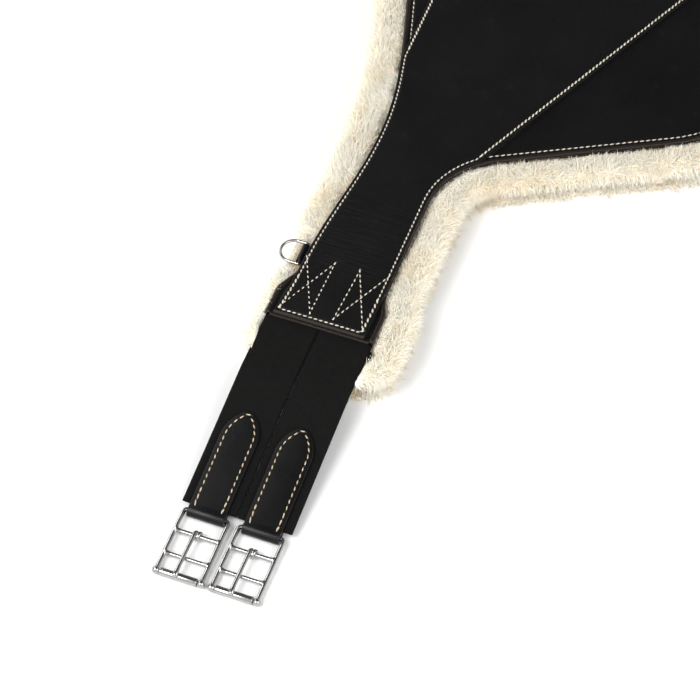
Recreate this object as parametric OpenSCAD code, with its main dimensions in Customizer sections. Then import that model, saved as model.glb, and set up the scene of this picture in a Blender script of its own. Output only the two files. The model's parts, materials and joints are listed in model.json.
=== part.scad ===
// Stud guard girth with a sheepskin liner, two elastics and two roller buckles at each end.
// It lies wool side down. X runs along the girth, +Y is the front edge and +Z is up.
// The near end is at -X and the off end at +X. The two ends are alike.

/* [Overall] */
// Length over the rollers of both ends, at rest
girth_len = 1200; // [1100:10:1500]
// Reach of the leather plate behind the centre line
plate_reach = 225; // [190:5:270]
// Half width of the plate where its slanting sides meet the neck
plate_half = 236; // [200:1:260]
// Slant of the plate's sides from the girth's length
plate_slant = 62; // [50:1:70]
// Radius of the plate's rounded corners
nose_r = 90; // [60:5:110]

/* [Neck] */
// Front half width of the leather beside the ring
neck_front = 30; // [28:0.5:40]
// Rear half width of the leather along the neck
neck_rear = 33; // [28:0.5:40]
// Front half width at the waist, its narrowest place
waist_front = 20; // [18:0.5:26]
// Front reach of the leather at the centre
centre_front = 61; // [45:1:75]
// Half width of the shoulders over the elastics
shoulder_half = 38.6; // [34:0.1:44]
// Radius of the fillet from neck to plate
neck_fillet_r = 60; // [40:5:80]

/* [Layers] */
// Depth of the wool pile
pile_t = 14; // [8:1:24]
// Thickness of the sheepskin's hide
hide_t = 2; // [1:0.5:3]
// Thickness of the lining leather
lining_t = 1.5; // [1:0.1:2.5]
// Depth of the pocket that holds elastics, webbing and foam
pocket_t = 2.8; // [2.4:0.1:4]
// Thickness of the body panel's leather
panel_t = 2.7; // [2:0.1:4]
// Thickness of the top strap's leather
strap_t = 3; // [2:0.1:4]
// Width of the rolled edge round the body panel
binding_w = 2.5; // [1.5:0.1:4]
// How far the rolled edge stands above the body panel
binding_proud = 0.6; // [0.2:0.1:1.5]
// How far the wool shows beyond the leather at the rear
wool_margin = 26; // [15:1:40]
// Front reach of the wool along the neck
wool_front = 49.5; // [44:0.5:70]
// How far the wool runs on past the leather's end
wool_end = 36; // [20:1:38]
// Radius of the wool's outer corners
wool_corner_r = 25; // [10:1:30]

/* [Top strap] */
// Slant of the top strap's rear seam from the girth's length
seam_slant = 25; // [18:0.2:28]
// Distance from the centre at which the seam leaves the neck
seam_start = 272; // [250:1:290]
// Radius of the top strap's rounded tip
tip_r = 60; // [30:5:90]

/* [Elastics and tabs] */
// Width of one elastic
elastic_w = 38; // [30:0.5:45]
// Thickness of one elastic
elastic_t = 2.2; // [1.5:0.1:2.4]
// Free length from the leather to the tab's fold
elastic_free = 148; // [130:1:200]
// Travel of an elastic when it is stretched
stretch = 35; // [10:1:40]
// Width of a tab
tab_w = 25.5; // [18:0.5:28]
// Length of a tab from the loop bar to its tip
tab_len = 78.5; // [60:0.5:100]
// Length of the pointed part of a tab
tab_tip = 22; // [15:1:35]
// Thickness of a tab's upper layer
tab_t = 2.4; // [1.5:0.1:3]
// Thickness of a tab's lower layer
tab_under_t = 1.6; // [1:0.1:2]

/* [Buckles] */
// Distance between the middles of a buckle's side bars
buckle_w = 30.8; // [30.6:0.2:34]
// Distance from loop bar to roller
buckle_len = 48; // [44:1:60]
// Diameter of the frame's bars
bar_d = 3.1; // [2.5:0.1:3.4]
// Distance from loop bar to tongue bar
tongue_at = 16.4; // [15:0.2:20]
// Diameter of the tongue bar, thinner than the side bars it joins
tongue_bar_d = 2.9; // [2.2:0.1:3]
// Distance from loop bar to guard bar
guard_at = 34.2; // [30:0.2:38]
// Outer diameter of the roller and of its end balls
roller_d = 5.4; // [5:0.1:6.4]
// Diameter of the tongue
tongue_d = 2.9; // [2.2:0.1:3.2]
// Radius of the tab's fold round the loop bar
fold_r = 4.4; // [4.2:0.1:4.8]

/* [Rings] */
// Distance of a side ring from the leather's end
side_ring_at = 57.5; // [57:0.5:64]
// Half width of a side ring
side_ring_half = 9.3; // [8:0.1:11]
// Wire diameter of a side ring
side_wire_d = 2; // [1.6:0.1:2.4]
// Half width of the centre ring
centre_ring_half = 14; // [10:0.5:18]
// Wire diameter of the centre ring
centre_wire_d = 3.2; // [2.6:0.1:3.4]

/* [Hidden] */
$fn = 48;

near = -1;
off = 1;
front = 1;
rear = -1;

// Clearances
slide_gap = 0.3;
pin_gap = 0.08;
roller_gap = 0.05;
end_gap = 0.3;
rest_gap = 0.05;
buckle_gap = 1.2;
strap_gap = 0.1;
lap = 0.05;

// Distance between the middles of the two elastics, which also keeps their buckles apart
pair_pitch = max(elastic_w, buckle_w + roller_d + buckle_gap);

// Buckle: its loop bar stands the fold's radius above the ground and its roller touches the ground
bar_r = bar_d / 2;
roller_r = roller_d / 2;
buckle_tilt = asin((fold_r - roller_r) / buckle_len);
corner_r = 2.4;
axle_d = 2.9;
guard_d = 2.8;
elastic_end = fold_r + 0.6;
roller_reach = buckle_len * cos(buckle_tilt) + roller_r;

// Distances from the centre of the girth
leather_half = girth_len / 2 - roller_reach - elastic_end - elastic_free;
loop_x = leather_half + elastic_free + elastic_end;
strap_step = 1;
strap_half = leather_half - strap_step;

// Heights of the layers
hide_z = pile_t;
lining_z = hide_z + hide_t;
pocket_z = lining_z + lining_t;
panel_z = pocket_z + pocket_t;
strap_z = panel_z + panel_t;
top_z = strap_z + strap_t;
elastic_z = pocket_z + pocket_t / 2;

// Place of the centre line in the row frame, so that the box is centred on Y = 0
front_reach = centre_front + wool_margin;
rear_reach = plate_reach + wool_margin;
mid_y = (rear_reach - front_reach) / 2;

// Plan: shoulders over the elastics
shoulder_flat = 20;
shoulder_run = 24;
shoulder_end = shoulder_flat + shoulder_run;
waist_x = plate_half - 10;
edge_step = 6;

function ramp(t) = (1 - cos(180 * min(1, max(0, t)))) / 2;
function past_end(x) = leather_half - abs(x);
function shoulder(x) = 1 - ramp((past_end(x) - shoulder_flat) / shoulder_run);
function neck_run() = leather_half - shoulder_end - waist_x;

// Front edge of the leather, from its waist out to the neck or in to the centre
function front_edge(x) =
    abs(x) > waist_x
    ? waist_front + (neck_front - waist_front) * ramp((abs(x) - waist_x) / neck_run())
        + (shoulder_half - neck_front) * shoulder(x)
    : waist_front + (centre_front - waist_front) * ramp((waist_x - abs(x)) / waist_x);

// Front edge of the wool: straight along the neck, then out to the centre
function wool_edge(x) = wool_front + (front_reach - wool_front) * ramp((waist_x - abs(x)) / waist_x);

function arc(c, r, from, to, n) = [for (i = [0:n]) c + r * [cos(from + (to - from) * i / n),
                                                         sin(from + (to - from) * i / n)]];
function flip(pts) = [for (i = [len(pts) - 1:-1:0]) [-pts[i].x, pts[i].y]];
function edge_points(half) = [for (x = [-half:2 * half / ceil(2 * half / edge_step):half + lap]) x];

// Rear edge of the leather from the off end to the centre: shoulder, neck, fillet, side and nose
fillet_run = neck_fillet_r * tan(plate_slant / 2);
nose_run = nose_r * tan(plate_slant / 2);
nose_x = plate_half - (plate_reach - neck_rear) / tan(plate_slant);
shoulder_pts = [for (u = [0:2.5:shoulder_end])
    [leather_half - u, -neck_rear - (shoulder_half - neck_rear) * shoulder(leather_half - u)]];
fillet_pts = arc([plate_half + fillet_run, -neck_rear - neck_fillet_r], neck_fillet_r, 90, 90 + plate_slant, 16);
nose_pts = arc([nose_x - nose_run, nose_r - plate_reach], nose_r, plate_slant - 90, -90, 20);
rear_pts = concat(shoulder_pts, fillet_pts, nose_pts);

// Rear edge of the top strap from the off end to the centre. Towards its end the strap leans to the front.
strap_inset = 0.4;
strap_front = neck_front - strap_inset;
strap_rear = neck_rear - strap_inset;
front_flare = 3.6;
rear_flare = -1.2;
flare_run = 50;
seam_fillet_r = 120;
seam_run = seam_fillet_r * tan(seam_slant / 2);
tip_y = -strap_rear - seam_start * tan(seam_slant) + tip_r / cos(seam_slant);
function end_spread(x, flare) = flare * pow(max(0, flare_run - past_end(x)) / flare_run, 2);
strap_end_pts = [for (u = [strap_step:6:flare_run])
    [leather_half - u, -strap_rear - end_spread(leather_half - u, rear_flare)]];
strap_fillet_pts = arc([seam_start + seam_run, -strap_rear - seam_fillet_r], seam_fillet_r, 90, 90 + seam_slant, 10);
strap_tip_pts = arc([0, tip_y], tip_r, seam_slant - 90, -90, 10);
strap_rear_pts = concat(strap_end_pts, strap_fillet_pts, strap_tip_pts);

module leather_plan() {
    polygon(concat(
        [for (x = edge_points(leather_half)) [x, front_edge(x)]],
        rear_pts,
        flip(rear_pts)));
}

// The top strap ends flush with the neck's edges and lies inside the leather everywhere else
module strap_plan() {
    intersection() {
        polygon(concat(
            [for (x = edge_points(strap_half))
                [x, min(front_edge(x) - strap_inset, strap_front) + end_spread(x, front_flare)]],
            strap_rear_pts,
            flip(strap_rear_pts)));
        offset(delta = -strap_inset) leather_plan();
    }
}

// The rolled edge runs along the sides and stops at the cut ends
module rim_plan() {
    intersection() {
        difference() {
            leather_plan();
            offset(delta = -binding_w) leather_plan();
        }
        square([2 * (leather_half - binding_w), 4 * rear_reach], center = true);
    }
}

// The wool runs on past the leather as a rounded pad under the elastics
end_pad = wool_end + shoulder_end;
end_rear = shoulder_half + wool_margin - 1;

module wool_plan() {
    half = leather_half + wool_end;
    offset(r = wool_corner_r)
    offset(delta = -wool_corner_r)
    union() {
        intersection() {
            offset(r = wool_margin) leather_plan();
            translate([-half, -2 * rear_reach]) square([2 * half, 2 * rear_reach]);
        }
        for (s = [-1, 1])
            translate([s * (half - end_pad / 2), -end_rear / 2]) square([end_pad, end_rear], center = true);
        polygon(concat([[half, 0], [-half, 0]], [for (x = edge_points(half)) [x, wool_edge(x)]]));
    }
}

module layer(z, t) {
    translate([0, mid_y, z]) linear_extrude(t) children();
}

// Liner
hide_inset = 8;

module wool_pile() {
    color("ivory") difference() {
        layer(0, pile_t + hide_t) wool_plan();
        layer(hide_z, hide_t + 1) offset(delta = -hide_inset) wool_plan();
    }
}

module sheepskin_hide() {
    color("wheat") layer(hide_z, hide_t) offset(delta = -hide_inset) wool_plan();
}

// Leather body
lining_inset = 3;
webbing_w = 40;
webbing_y = -5;
webbing_half = leather_half - 72;
stiffener_t = 1.2;
stiffener_inset = 7;
foam_inset = 10;
notch_gap = 1;

module lining() {
    color("dimgray") layer(lining_z, lining_t) intersection() {
        offset(delta = -lining_inset) leather_plan();
        square([2 * leather_half, 4 * rear_reach], center = true);
    }
}

module webbing_plan(margin) {
    translate([0, webbing_y]) square([2 * webbing_half, webbing_w + 2 * margin], center = true);
}

module webbing_core() {
    color("gainsboro") layer(pocket_z, pocket_t) webbing_plan(0);
}

// Board and foam fill the plate behind and in front of the webbing, with a notch for the centre keeper
module plate_fill_plan(inset) {
    notch_w = keeper_width(centre_ring_half, centre_wire_d) + 2 * notch_gap;
    difference() {
        intersection() {
            offset(delta = -inset) leather_plan();
            square([2 * waist_x, 4 * rear_reach], center = true);
        }
        webbing_plan(1);
        translate([-notch_w / 2, centre_front + centre_out - centre_tail - notch_gap])
            square([notch_w, rear_reach]);
    }
}

module plate_stiffener() {
    color("saddlebrown") layer(pocket_z, stiffener_t) plate_fill_plan(stiffener_inset);
}

module plate_foam() {
    color("slategray") layer(pocket_z + stiffener_t, pocket_t - stiffener_t) plate_fill_plan(foam_inset);
}

module body_panel() {
    color([0.08, 0.08, 0.09]) layer(panel_z, panel_t) difference() {
        leather_plan();
        rim_plan();
    }
}

// The rolled edge stands proud wherever the top strap doesn't cover it
module edge_binding() {
    color([0.2, 0.14, 0.1]) {
        layer(panel_z, panel_t) rim_plan();
        layer(panel_z, panel_t + binding_proud) difference() {
            rim_plan();
            offset(delta = strap_gap) strap_plan();
        }
    }
}

module top_strap() {
    color([0.07, 0.07, 0.08]) layer(strap_z, strap_t) strap_plan();
}

// Press studs between hide and elastics. The rear ones show beside the elastics.
stud_r = 3.8;
stud_t = 1.4;
stud_out = 6;
stud_y = (pair_pitch + elastic_w) / 2;

module liner_studs() {
    color("silver") for (end = [near, off], side = [front, rear])
        translate([end * (leather_half + stud_out), mid_y + side * stud_y - 0.5, lining_z])
            cylinder(r = stud_r, h = stud_t);
}

// Elastics: flat out of the pocket and over the wool, then straight down to the loop bar
bend_r = 100;
bend_at = wool_end + 10;
incline = atan((elastic_z - fold_r) / (elastic_free + elastic_end - bend_at));
bend_run = bend_r * tan(incline / 2);
bend_steps = 8;
pair_gap = 0.2;
inner_y = (pair_pitch - elastic_w) / 2 + pair_gap;
tail_held = 13;
tail_len = stretch + tail_held;
tail_w = 28;
wide_len = 22;

// The elastic's side line: where it is, and which way is up from it
function bend_pt(a, h) = [-leather_half - bend_at + bend_run, elastic_z - bend_r]
                         + (bend_r + h) * [-sin(a), cos(a)];
function end_pt(h) = [-loop_x, fold_r] + elastic_end * [cos(incline), sin(incline)]
                     + h * [-sin(incline), cos(incline)];
function side_line(h) = concat(
    [[-leather_half + tail_len, elastic_z + h]],
    [for (i = [0:bend_steps]) bend_pt(incline * i / bend_steps, h)],
    [end_pt(h)]);
function backwards(pts) = [for (i = [len(pts) - 1:-1:0]) pts[i]];

// Puts a near front piece at any of the four places
module at_end(end, side) {
    translate([0, mid_y, 0])
        mirror([end == off ? 1 : 0, 0, 0])
            mirror([0, side == rear ? 1 : 0, 0])
                children();
}

module elastic(end, side) {
    color([0.1, 0.1, 0.1]) at_end(end, side) intersection() {
        translate([0, 2 * pair_pitch, 0]) rotate([90, 0, 0]) linear_extrude(2 * pair_pitch)
            polygon(concat(side_line(elastic_t / 2), backwards(side_line(-elastic_t / 2))));
        linear_extrude(top_z) union() {
            translate([-loop_x, inner_y]) square([loop_x - leather_half + wide_len, elastic_w - pair_gap]);
            translate([-leather_half, inner_y]) square([tail_len, tail_w]);
        }
    }
}

// Tabs: an upper layer with a pointed tip, folded round the loop bar to a shorter lower layer
tab_y = pair_pitch / 2;
tab_under_len = 44;
tab_arch_r = (pow(tab_w / 2, 2) + pow(tab_tip, 2)) / tab_w;

module tab_plan() {
    translate([0, -tab_w / 2]) square([tab_len - tab_tip, tab_w]);
    translate([tab_len - tab_tip, 0]) intersection() {
        translate([0, tab_arch_r - tab_w / 2]) circle(r = tab_arch_r, $fn = 96);
        translate([0, tab_w / 2 - tab_arch_r]) circle(r = tab_arch_r, $fn = 96);
        translate([0, -tab_w / 2]) square([tab_tip, tab_w]);
    }
}

module at_loop(end, side, tilt) {
    at_end(end, side) translate([-loop_x, tab_y, fold_r]) rotate([0, tilt, 0]) children();
}

module cross_cylinder(r, w) {
    rotate([90, 0, 0]) cylinder(r = r, h = w, center = true);
}

module tab(end, side) {
    color([0.09, 0.09, 0.1]) at_loop(end, side, -incline) difference() {
        union() {
            cross_cylinder(fold_r, tab_w);
            translate([0, 0, elastic_t / 2 + lap]) linear_extrude(tab_t) tab_plan();
            translate([0, -tab_w / 2, -elastic_t / 2 - lap - tab_under_t])
                cube([tab_under_len, tab_w, tab_under_t]);
        }
        cross_cylinder(bar_r + pin_gap, tab_w + 2);
    }
}

// Buckles, drawn from the loop bar outwards along -X
side_y = buckle_w / 2;
weld_r = 2.1;
weld_root = 0.7;
weld_len = 3.4;

module bar_between(x, r) {
    translate([x, 0, 0]) {
        cross_cylinder(r, buckle_w);
        for (s = [-1, 1]) translate([0, s * (side_y - weld_root), 0]) rotate([90 * s, 0, 0])
            cylinder(r1 = weld_r, r2 = r, h = weld_len);
    }
}

module frame_corner(s) {
    translate([-corner_r, s * (side_y - corner_r), 0])
        rotate([0, 0, s == 1 ? 0 : -90])
            rotate_extrude(angle = 90) translate([corner_r, 0]) circle(r = bar_r, $fn = 32);
}

module buckle_frame(end, side) {
    color("silver") at_loop(end, side, -buckle_tilt) union() {
        cross_cylinder(bar_r, buckle_w - 2 * corner_r);
        for (s = [-1, 1]) {
            frame_corner(s);
            translate([-corner_r, s * side_y, 0]) rotate([0, -90, 0])
                cylinder(r = bar_r, h = buckle_len - corner_r);
            translate([-buckle_len, s * side_y, 0]) sphere(r = roller_r);
        }
        bar_between(-tongue_at, tongue_bar_d / 2);
        bar_between(-guard_at, guard_d / 2);
        translate([-buckle_len, 0, 0]) cross_cylinder(axle_d / 2, buckle_w);
    }
}

// Tongue: an eye round the tongue bar and a rod that lies on the roller, always a little to the front
eye_r = 3.6;
eye_w = 6.4;
rod_off = 1.5;
rod_over = 0.9;
rod_h0 = 2;
rod_h1 = roller_r + tongue_d / 2 + rest_gap;
rod_slope = atan((rod_h1 - rod_h0) / (buckle_len - tongue_at));
rod_len = (buckle_len - tongue_at + rod_over) / cos(rod_slope);

module tongue(end, side) {
    color("gainsboro") at_loop(end, side, -buckle_tilt) difference() {
        union() {
            translate([-tongue_at, 0, 0]) cross_cylinder(eye_r, eye_w);
            translate([-tongue_at, side * rod_off, rod_h0]) rotate([0, rod_slope - 90, 0]) {
                cylinder(r = tongue_d / 2, h = rod_len);
                translate([0, 0, rod_len]) sphere(r = tongue_d / 2);
            }
        }
        translate([-tongue_at, 0, 0]) cross_cylinder(tongue_bar_d / 2 + pin_gap, eye_w + 2);
    }
}

// Roller: a tube on the frame's axle, between the end balls
roller_half = side_y - sqrt(pow(roller_r, 2) - pow(axle_d / 2, 2)) - end_gap;

module roller(end, side) {
    color("whitesmoke") at_loop(end, side, -buckle_tilt) translate([-buckle_len, 0, 0]) difference() {
        cross_cylinder(roller_r, 2 * roller_half);
        cross_cylinder(axle_d / 2 + roller_gap, 2 * roller_half + 2);
    }
}

// Rings: a straight bar in a leather keeper, two legs and a half round
keeper_wall = 1.5;
keeper_tail_t = 2;
keeper_play = 0.8;
side_out = 3.7;
centre_out = 5.7;
side_leg = 6.5;
centre_leg = 4;
side_tail = 22;
centre_tail = 34;

function ring_z(wire_d) = lining_z + wire_d / 2 + pin_gap + keeper_wall + slide_gap;
function ring_y(x, out) = mid_y + front_edge(x) + out;
function keeper_width(half, wire_d) = 2 * (half - wire_d / 2 - keeper_play);

module d_ring(half, wire_d, leg) {
    cross = wire_d / 2;
    rotate([0, 90, 0]) cylinder(r = cross, h = 2 * half, center = true);
    for (s = [-1, 1]) {
        translate([s * half, 0, 0]) sphere(r = cross);
        translate([s * half, 0, 0]) rotate([-90, 0, 0]) cylinder(r = cross, h = leg);
    }
    translate([0, leg, 0]) rotate_extrude(angle = 180) translate([half, 0]) circle(r = cross, $fn = 24);
}

// The keeper's tail lies in the middle of the pocket
module ring_keeper(half, wire_d, tail) {
    hole_r = wire_d / 2 + pin_gap;
    width = keeper_width(half, wire_d);
    tail_z = elastic_z - ring_z(wire_d) - keeper_tail_t / 2;
    difference() {
        union() {
            rotate([0, 90, 0]) cylinder(r = hole_r + keeper_wall, h = width, center = true);
            translate([-width / 2, -tail, tail_z]) cube([width, tail, keeper_tail_t]);
        }
        rotate([0, 90, 0]) cylinder(r = hole_r, h = width + 2, center = true);
    }
}

module at_side_ring(end) {
    x = end * (leather_half - side_ring_at);
    translate([x, ring_y(x, side_out), ring_z(side_wire_d)]) children();
}

module at_centre_ring() {
    translate([0, ring_y(0, centre_out), ring_z(centre_wire_d)]) children();
}

module side_ring(end) {
    color("silver") at_side_ring(end) d_ring(side_ring_half, side_wire_d, side_leg);
}

module side_keeper(end) {
    color([0.09, 0.09, 0.1]) at_side_ring(end) ring_keeper(side_ring_half, side_wire_d, side_tail);
}

module centre_ring() {
    color("silver") at_centre_ring() d_ring(centre_ring_half, centre_wire_d, centre_leg);
}

module centre_ring_keeper() {
    color([0.09, 0.09, 0.1]) at_centre_ring() ring_keeper(centre_ring_half, centre_wire_d, centre_tail);
}

wool_pile();
sheepskin_hide();
lining();
webbing_core();
plate_stiffener();
plate_foam();
body_panel();
edge_binding();
top_strap();
liner_studs();
elastic(near, front);  // near_front_elastic
elastic(near, rear);  // near_rear_elastic
elastic(off, front);  // off_front_elastic
elastic(off, rear);  // off_rear_elastic
tab(near, front);  // near_front_tab
tab(near, rear);  // near_rear_tab
tab(off, front);  // off_front_tab
tab(off, rear);  // off_rear_tab
buckle_frame(near, front);  // near_front_frame
buckle_frame(near, rear);  // near_rear_frame
buckle_frame(off, front);  // off_front_frame
buckle_frame(off, rear);  // off_rear_frame
tongue(near, front);  // near_front_tongue
tongue(near, rear);  // near_rear_tongue
tongue(off, front);  // off_front_tongue
tongue(off, rear);  // off_rear_tongue
roller(near, front);  // near_front_roller
roller(near, rear);  // near_rear_roller
roller(off, front);  // off_front_roller
roller(off, rear);  // off_rear_roller
side_keeper(near);  // near_ring_keeper
side_keeper(off);  // off_ring_keeper
centre_ring_keeper();
side_ring(near);  // near_ring
side_ring(off);  // off_ring
centre_ring();
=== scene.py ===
"""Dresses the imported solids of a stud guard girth: sheepskin, leather, elastic web, seams and buckles.

X runs along the girth with the near end at -X, +Y is the front edge and +Z is up. Lengths are in metres.
"""
import json
import math

import bmesh
import bpy
import numpy as np
from mathutils import Euler, Vector, geometry, kdtree, noise
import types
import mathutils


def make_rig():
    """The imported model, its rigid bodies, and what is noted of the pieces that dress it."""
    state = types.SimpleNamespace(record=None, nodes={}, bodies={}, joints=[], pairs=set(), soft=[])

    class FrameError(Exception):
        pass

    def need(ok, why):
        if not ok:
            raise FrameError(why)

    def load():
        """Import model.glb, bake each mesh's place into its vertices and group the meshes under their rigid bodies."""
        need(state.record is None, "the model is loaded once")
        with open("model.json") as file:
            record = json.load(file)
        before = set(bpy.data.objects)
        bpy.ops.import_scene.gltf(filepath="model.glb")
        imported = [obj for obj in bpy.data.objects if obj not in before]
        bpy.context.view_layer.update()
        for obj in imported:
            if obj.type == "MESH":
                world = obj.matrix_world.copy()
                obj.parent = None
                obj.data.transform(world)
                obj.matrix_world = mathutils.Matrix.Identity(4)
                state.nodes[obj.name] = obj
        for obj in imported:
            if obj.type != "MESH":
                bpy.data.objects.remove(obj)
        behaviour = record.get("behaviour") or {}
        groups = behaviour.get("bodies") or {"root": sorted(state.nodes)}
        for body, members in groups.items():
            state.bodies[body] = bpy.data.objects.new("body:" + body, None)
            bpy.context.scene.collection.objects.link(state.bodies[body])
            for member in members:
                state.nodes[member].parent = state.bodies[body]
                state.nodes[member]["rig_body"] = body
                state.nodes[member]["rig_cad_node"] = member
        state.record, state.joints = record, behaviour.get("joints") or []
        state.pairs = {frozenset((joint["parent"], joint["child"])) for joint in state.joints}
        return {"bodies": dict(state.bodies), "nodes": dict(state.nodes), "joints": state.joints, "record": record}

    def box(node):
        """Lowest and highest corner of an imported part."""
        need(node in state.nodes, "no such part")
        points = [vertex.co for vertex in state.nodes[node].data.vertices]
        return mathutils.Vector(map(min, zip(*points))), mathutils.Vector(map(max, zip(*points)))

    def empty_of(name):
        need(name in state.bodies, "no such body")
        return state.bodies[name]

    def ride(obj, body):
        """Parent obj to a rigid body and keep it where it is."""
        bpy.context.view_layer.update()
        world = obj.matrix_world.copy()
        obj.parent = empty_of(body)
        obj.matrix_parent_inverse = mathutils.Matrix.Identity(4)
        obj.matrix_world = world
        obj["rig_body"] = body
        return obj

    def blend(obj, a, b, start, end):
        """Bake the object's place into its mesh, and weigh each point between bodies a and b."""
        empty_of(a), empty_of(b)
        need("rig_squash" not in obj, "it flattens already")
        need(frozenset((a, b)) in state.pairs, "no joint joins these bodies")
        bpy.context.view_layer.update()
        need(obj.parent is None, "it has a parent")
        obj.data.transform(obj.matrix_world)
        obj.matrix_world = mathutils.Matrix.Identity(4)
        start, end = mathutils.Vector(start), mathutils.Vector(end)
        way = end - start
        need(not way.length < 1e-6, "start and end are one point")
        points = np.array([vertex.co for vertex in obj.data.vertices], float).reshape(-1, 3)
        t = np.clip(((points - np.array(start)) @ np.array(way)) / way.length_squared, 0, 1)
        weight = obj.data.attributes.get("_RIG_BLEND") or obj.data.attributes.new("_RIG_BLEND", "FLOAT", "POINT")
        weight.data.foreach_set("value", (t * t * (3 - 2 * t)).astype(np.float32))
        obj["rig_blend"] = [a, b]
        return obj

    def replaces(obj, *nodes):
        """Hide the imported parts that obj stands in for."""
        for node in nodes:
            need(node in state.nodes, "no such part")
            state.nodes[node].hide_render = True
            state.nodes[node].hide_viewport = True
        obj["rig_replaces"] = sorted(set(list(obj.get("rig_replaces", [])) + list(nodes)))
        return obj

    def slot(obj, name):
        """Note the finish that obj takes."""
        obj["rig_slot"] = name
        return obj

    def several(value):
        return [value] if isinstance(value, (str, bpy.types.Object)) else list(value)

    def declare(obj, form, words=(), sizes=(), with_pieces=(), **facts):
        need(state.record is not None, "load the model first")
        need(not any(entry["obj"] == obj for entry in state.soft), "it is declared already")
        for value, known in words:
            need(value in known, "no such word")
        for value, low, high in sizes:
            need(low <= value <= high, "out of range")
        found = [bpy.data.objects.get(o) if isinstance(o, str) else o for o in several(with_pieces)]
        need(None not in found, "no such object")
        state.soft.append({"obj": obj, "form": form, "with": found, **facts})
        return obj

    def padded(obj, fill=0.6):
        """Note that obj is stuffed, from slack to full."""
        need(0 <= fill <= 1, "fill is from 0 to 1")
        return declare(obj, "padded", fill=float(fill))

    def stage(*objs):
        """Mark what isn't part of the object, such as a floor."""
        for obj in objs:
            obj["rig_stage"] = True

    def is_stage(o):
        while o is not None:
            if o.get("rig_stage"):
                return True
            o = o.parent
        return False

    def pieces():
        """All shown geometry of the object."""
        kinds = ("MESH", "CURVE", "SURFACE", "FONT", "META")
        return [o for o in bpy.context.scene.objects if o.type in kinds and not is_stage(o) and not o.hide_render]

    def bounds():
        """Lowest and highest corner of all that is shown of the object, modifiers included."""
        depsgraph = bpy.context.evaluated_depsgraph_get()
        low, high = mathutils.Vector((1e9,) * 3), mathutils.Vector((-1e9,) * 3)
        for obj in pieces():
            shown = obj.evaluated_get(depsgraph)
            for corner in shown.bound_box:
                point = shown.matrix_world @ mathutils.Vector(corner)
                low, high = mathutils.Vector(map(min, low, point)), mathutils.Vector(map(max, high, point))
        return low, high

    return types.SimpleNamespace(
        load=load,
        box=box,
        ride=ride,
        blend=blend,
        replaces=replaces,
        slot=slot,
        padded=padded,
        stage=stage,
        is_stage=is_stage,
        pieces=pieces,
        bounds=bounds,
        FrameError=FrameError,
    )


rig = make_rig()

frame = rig.load()
CAD_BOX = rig.bounds()

bl_info = {
    "name": "Stud Guard Girth",
    "version": (1, 0, 0),
    "blender": (4, 5, 0),
    "location": "View3D > Sidebar > Girth",
    "description": "Builds the leather, sheepskin, elastics and buckles of a stud guard girth",
    "category": "Object",
}

MM = 0.001
ENDS = {"near": -1, "off": 1}
SIDES = {"front": 1, "rear": -1}
PLACES = [(end, side) for end in ENDS for side in SIDES]
RING_PLACES = ("near", "off", "centre")
JOINTS = {joint["name"]: joint for joint in frame["joints"]}
FINISH = {}


def share(value, start=0.0, length=1.0):
    """How far a value has come from a start along a length, held between 0 and 1."""
    return min(1.0, max(0.0, (value - start) / length))


def joint_at(name):
    return Vector(JOINTS[name]["pos_m"])


# ---------------------------------------------------------------- sizes and colours

def colour_setting(name, what, value):
    return bpy.props.FloatVectorProperty(name=name, description=what, subtype="COLOR", default=value, size=3)


def length_setting(name, what, value, low, high):
    return bpy.props.FloatProperty(name=name, description=what, unit="LENGTH", default=value, min=low, max=high)


class GirthLeather(bpy.types.PropertyGroup):
    colour: colour_setting("Leather", "Colour of the black leather", (0.0030, 0.0030, 0.0034))
    edge: colour_setting("Rolled edge", "Colour of the rolled edge", (0.015, 0.010, 0.0075))
    raw: colour_setting("Cut edge", "Colour of the cut leather edges", (0.066, 0.047, 0.034))
    crease: bpy.props.FloatProperty(
        name="Crease depth", description="Depth of the creases across the neck, in grain depths",
        default=6.0, min=0.0, max=20.0)


class GirthWool(bpy.types.PropertyGroup):
    tip: colour_setting("Tips", "Colour of the wool's tips", (0.97, 0.935, 0.84))
    # The root colour is partly the wool's own tone and partly painted shade, low in the locks and beside the leather
    root: colour_setting("Roots", "Colour of the wool near the skin", (0.95, 0.79, 0.55))
    length: length_setting("Lock length", "Length of a wool lock at the rim", 0.0075, 0.003, 0.02)
    width: length_setting("Lock width", "Radius of a wool lock at its root", 0.00042, 0.0002, 0.002)
    density: bpy.props.FloatProperty(
        name="Density", description="Locks on a square metre of rim, in each piece",
        default=204000.0, min=1000.0)


class GirthThread(bpy.types.PropertyGroup):
    colour: colour_setting("Thread", "Colour of the seams' thread", (0.76, 0.69, 0.56))
    tab_colour: colour_setting("Tab thread", "Colour of the tabs' thread", (0.70, 0.56, 0.38))
    pitch: length_setting("Pitch", "Distance from stitch to stitch", 0.0037, 0.001, 0.01)
    width: length_setting("Width", "Width of a stitch", 0.00110, 0.0003, 0.003)


class GirthMetal(bpy.types.PropertyGroup):
    colour: colour_setting("Steel", "Colour of the stainless steel", (0.46, 0.452, 0.44))
    cell: length_setting("Blend cell", "Cell size that rounds the frames' joints", 0.00036, 0.0001, 0.001)


class GirthStage(bpy.types.PropertyGroup):
    distance: length_setting("Camera distance", "Distance from the camera to its target", 1.8, 0.3, 20.0)
    elevation: bpy.props.FloatProperty(
        name="Elevation", description="How far the camera looks down",
        subtype="ANGLE", default=math.radians(54.0))
    azimuth: bpy.props.FloatProperty(
        name="Azimuth", description="Direction of view from the girth's length",
        subtype="ANGLE", default=math.radians(20.43))
    lens: bpy.props.FloatProperty(name="Lens", description="Focal length", default=139.3, min=10.0)
    target: bpy.props.FloatVectorProperty(
        name="Target", description="Point that the camera looks at", subtype="TRANSLATION",
        unit="LENGTH", default=(-0.4045, 0.0567, 0.020), size=3)


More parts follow.
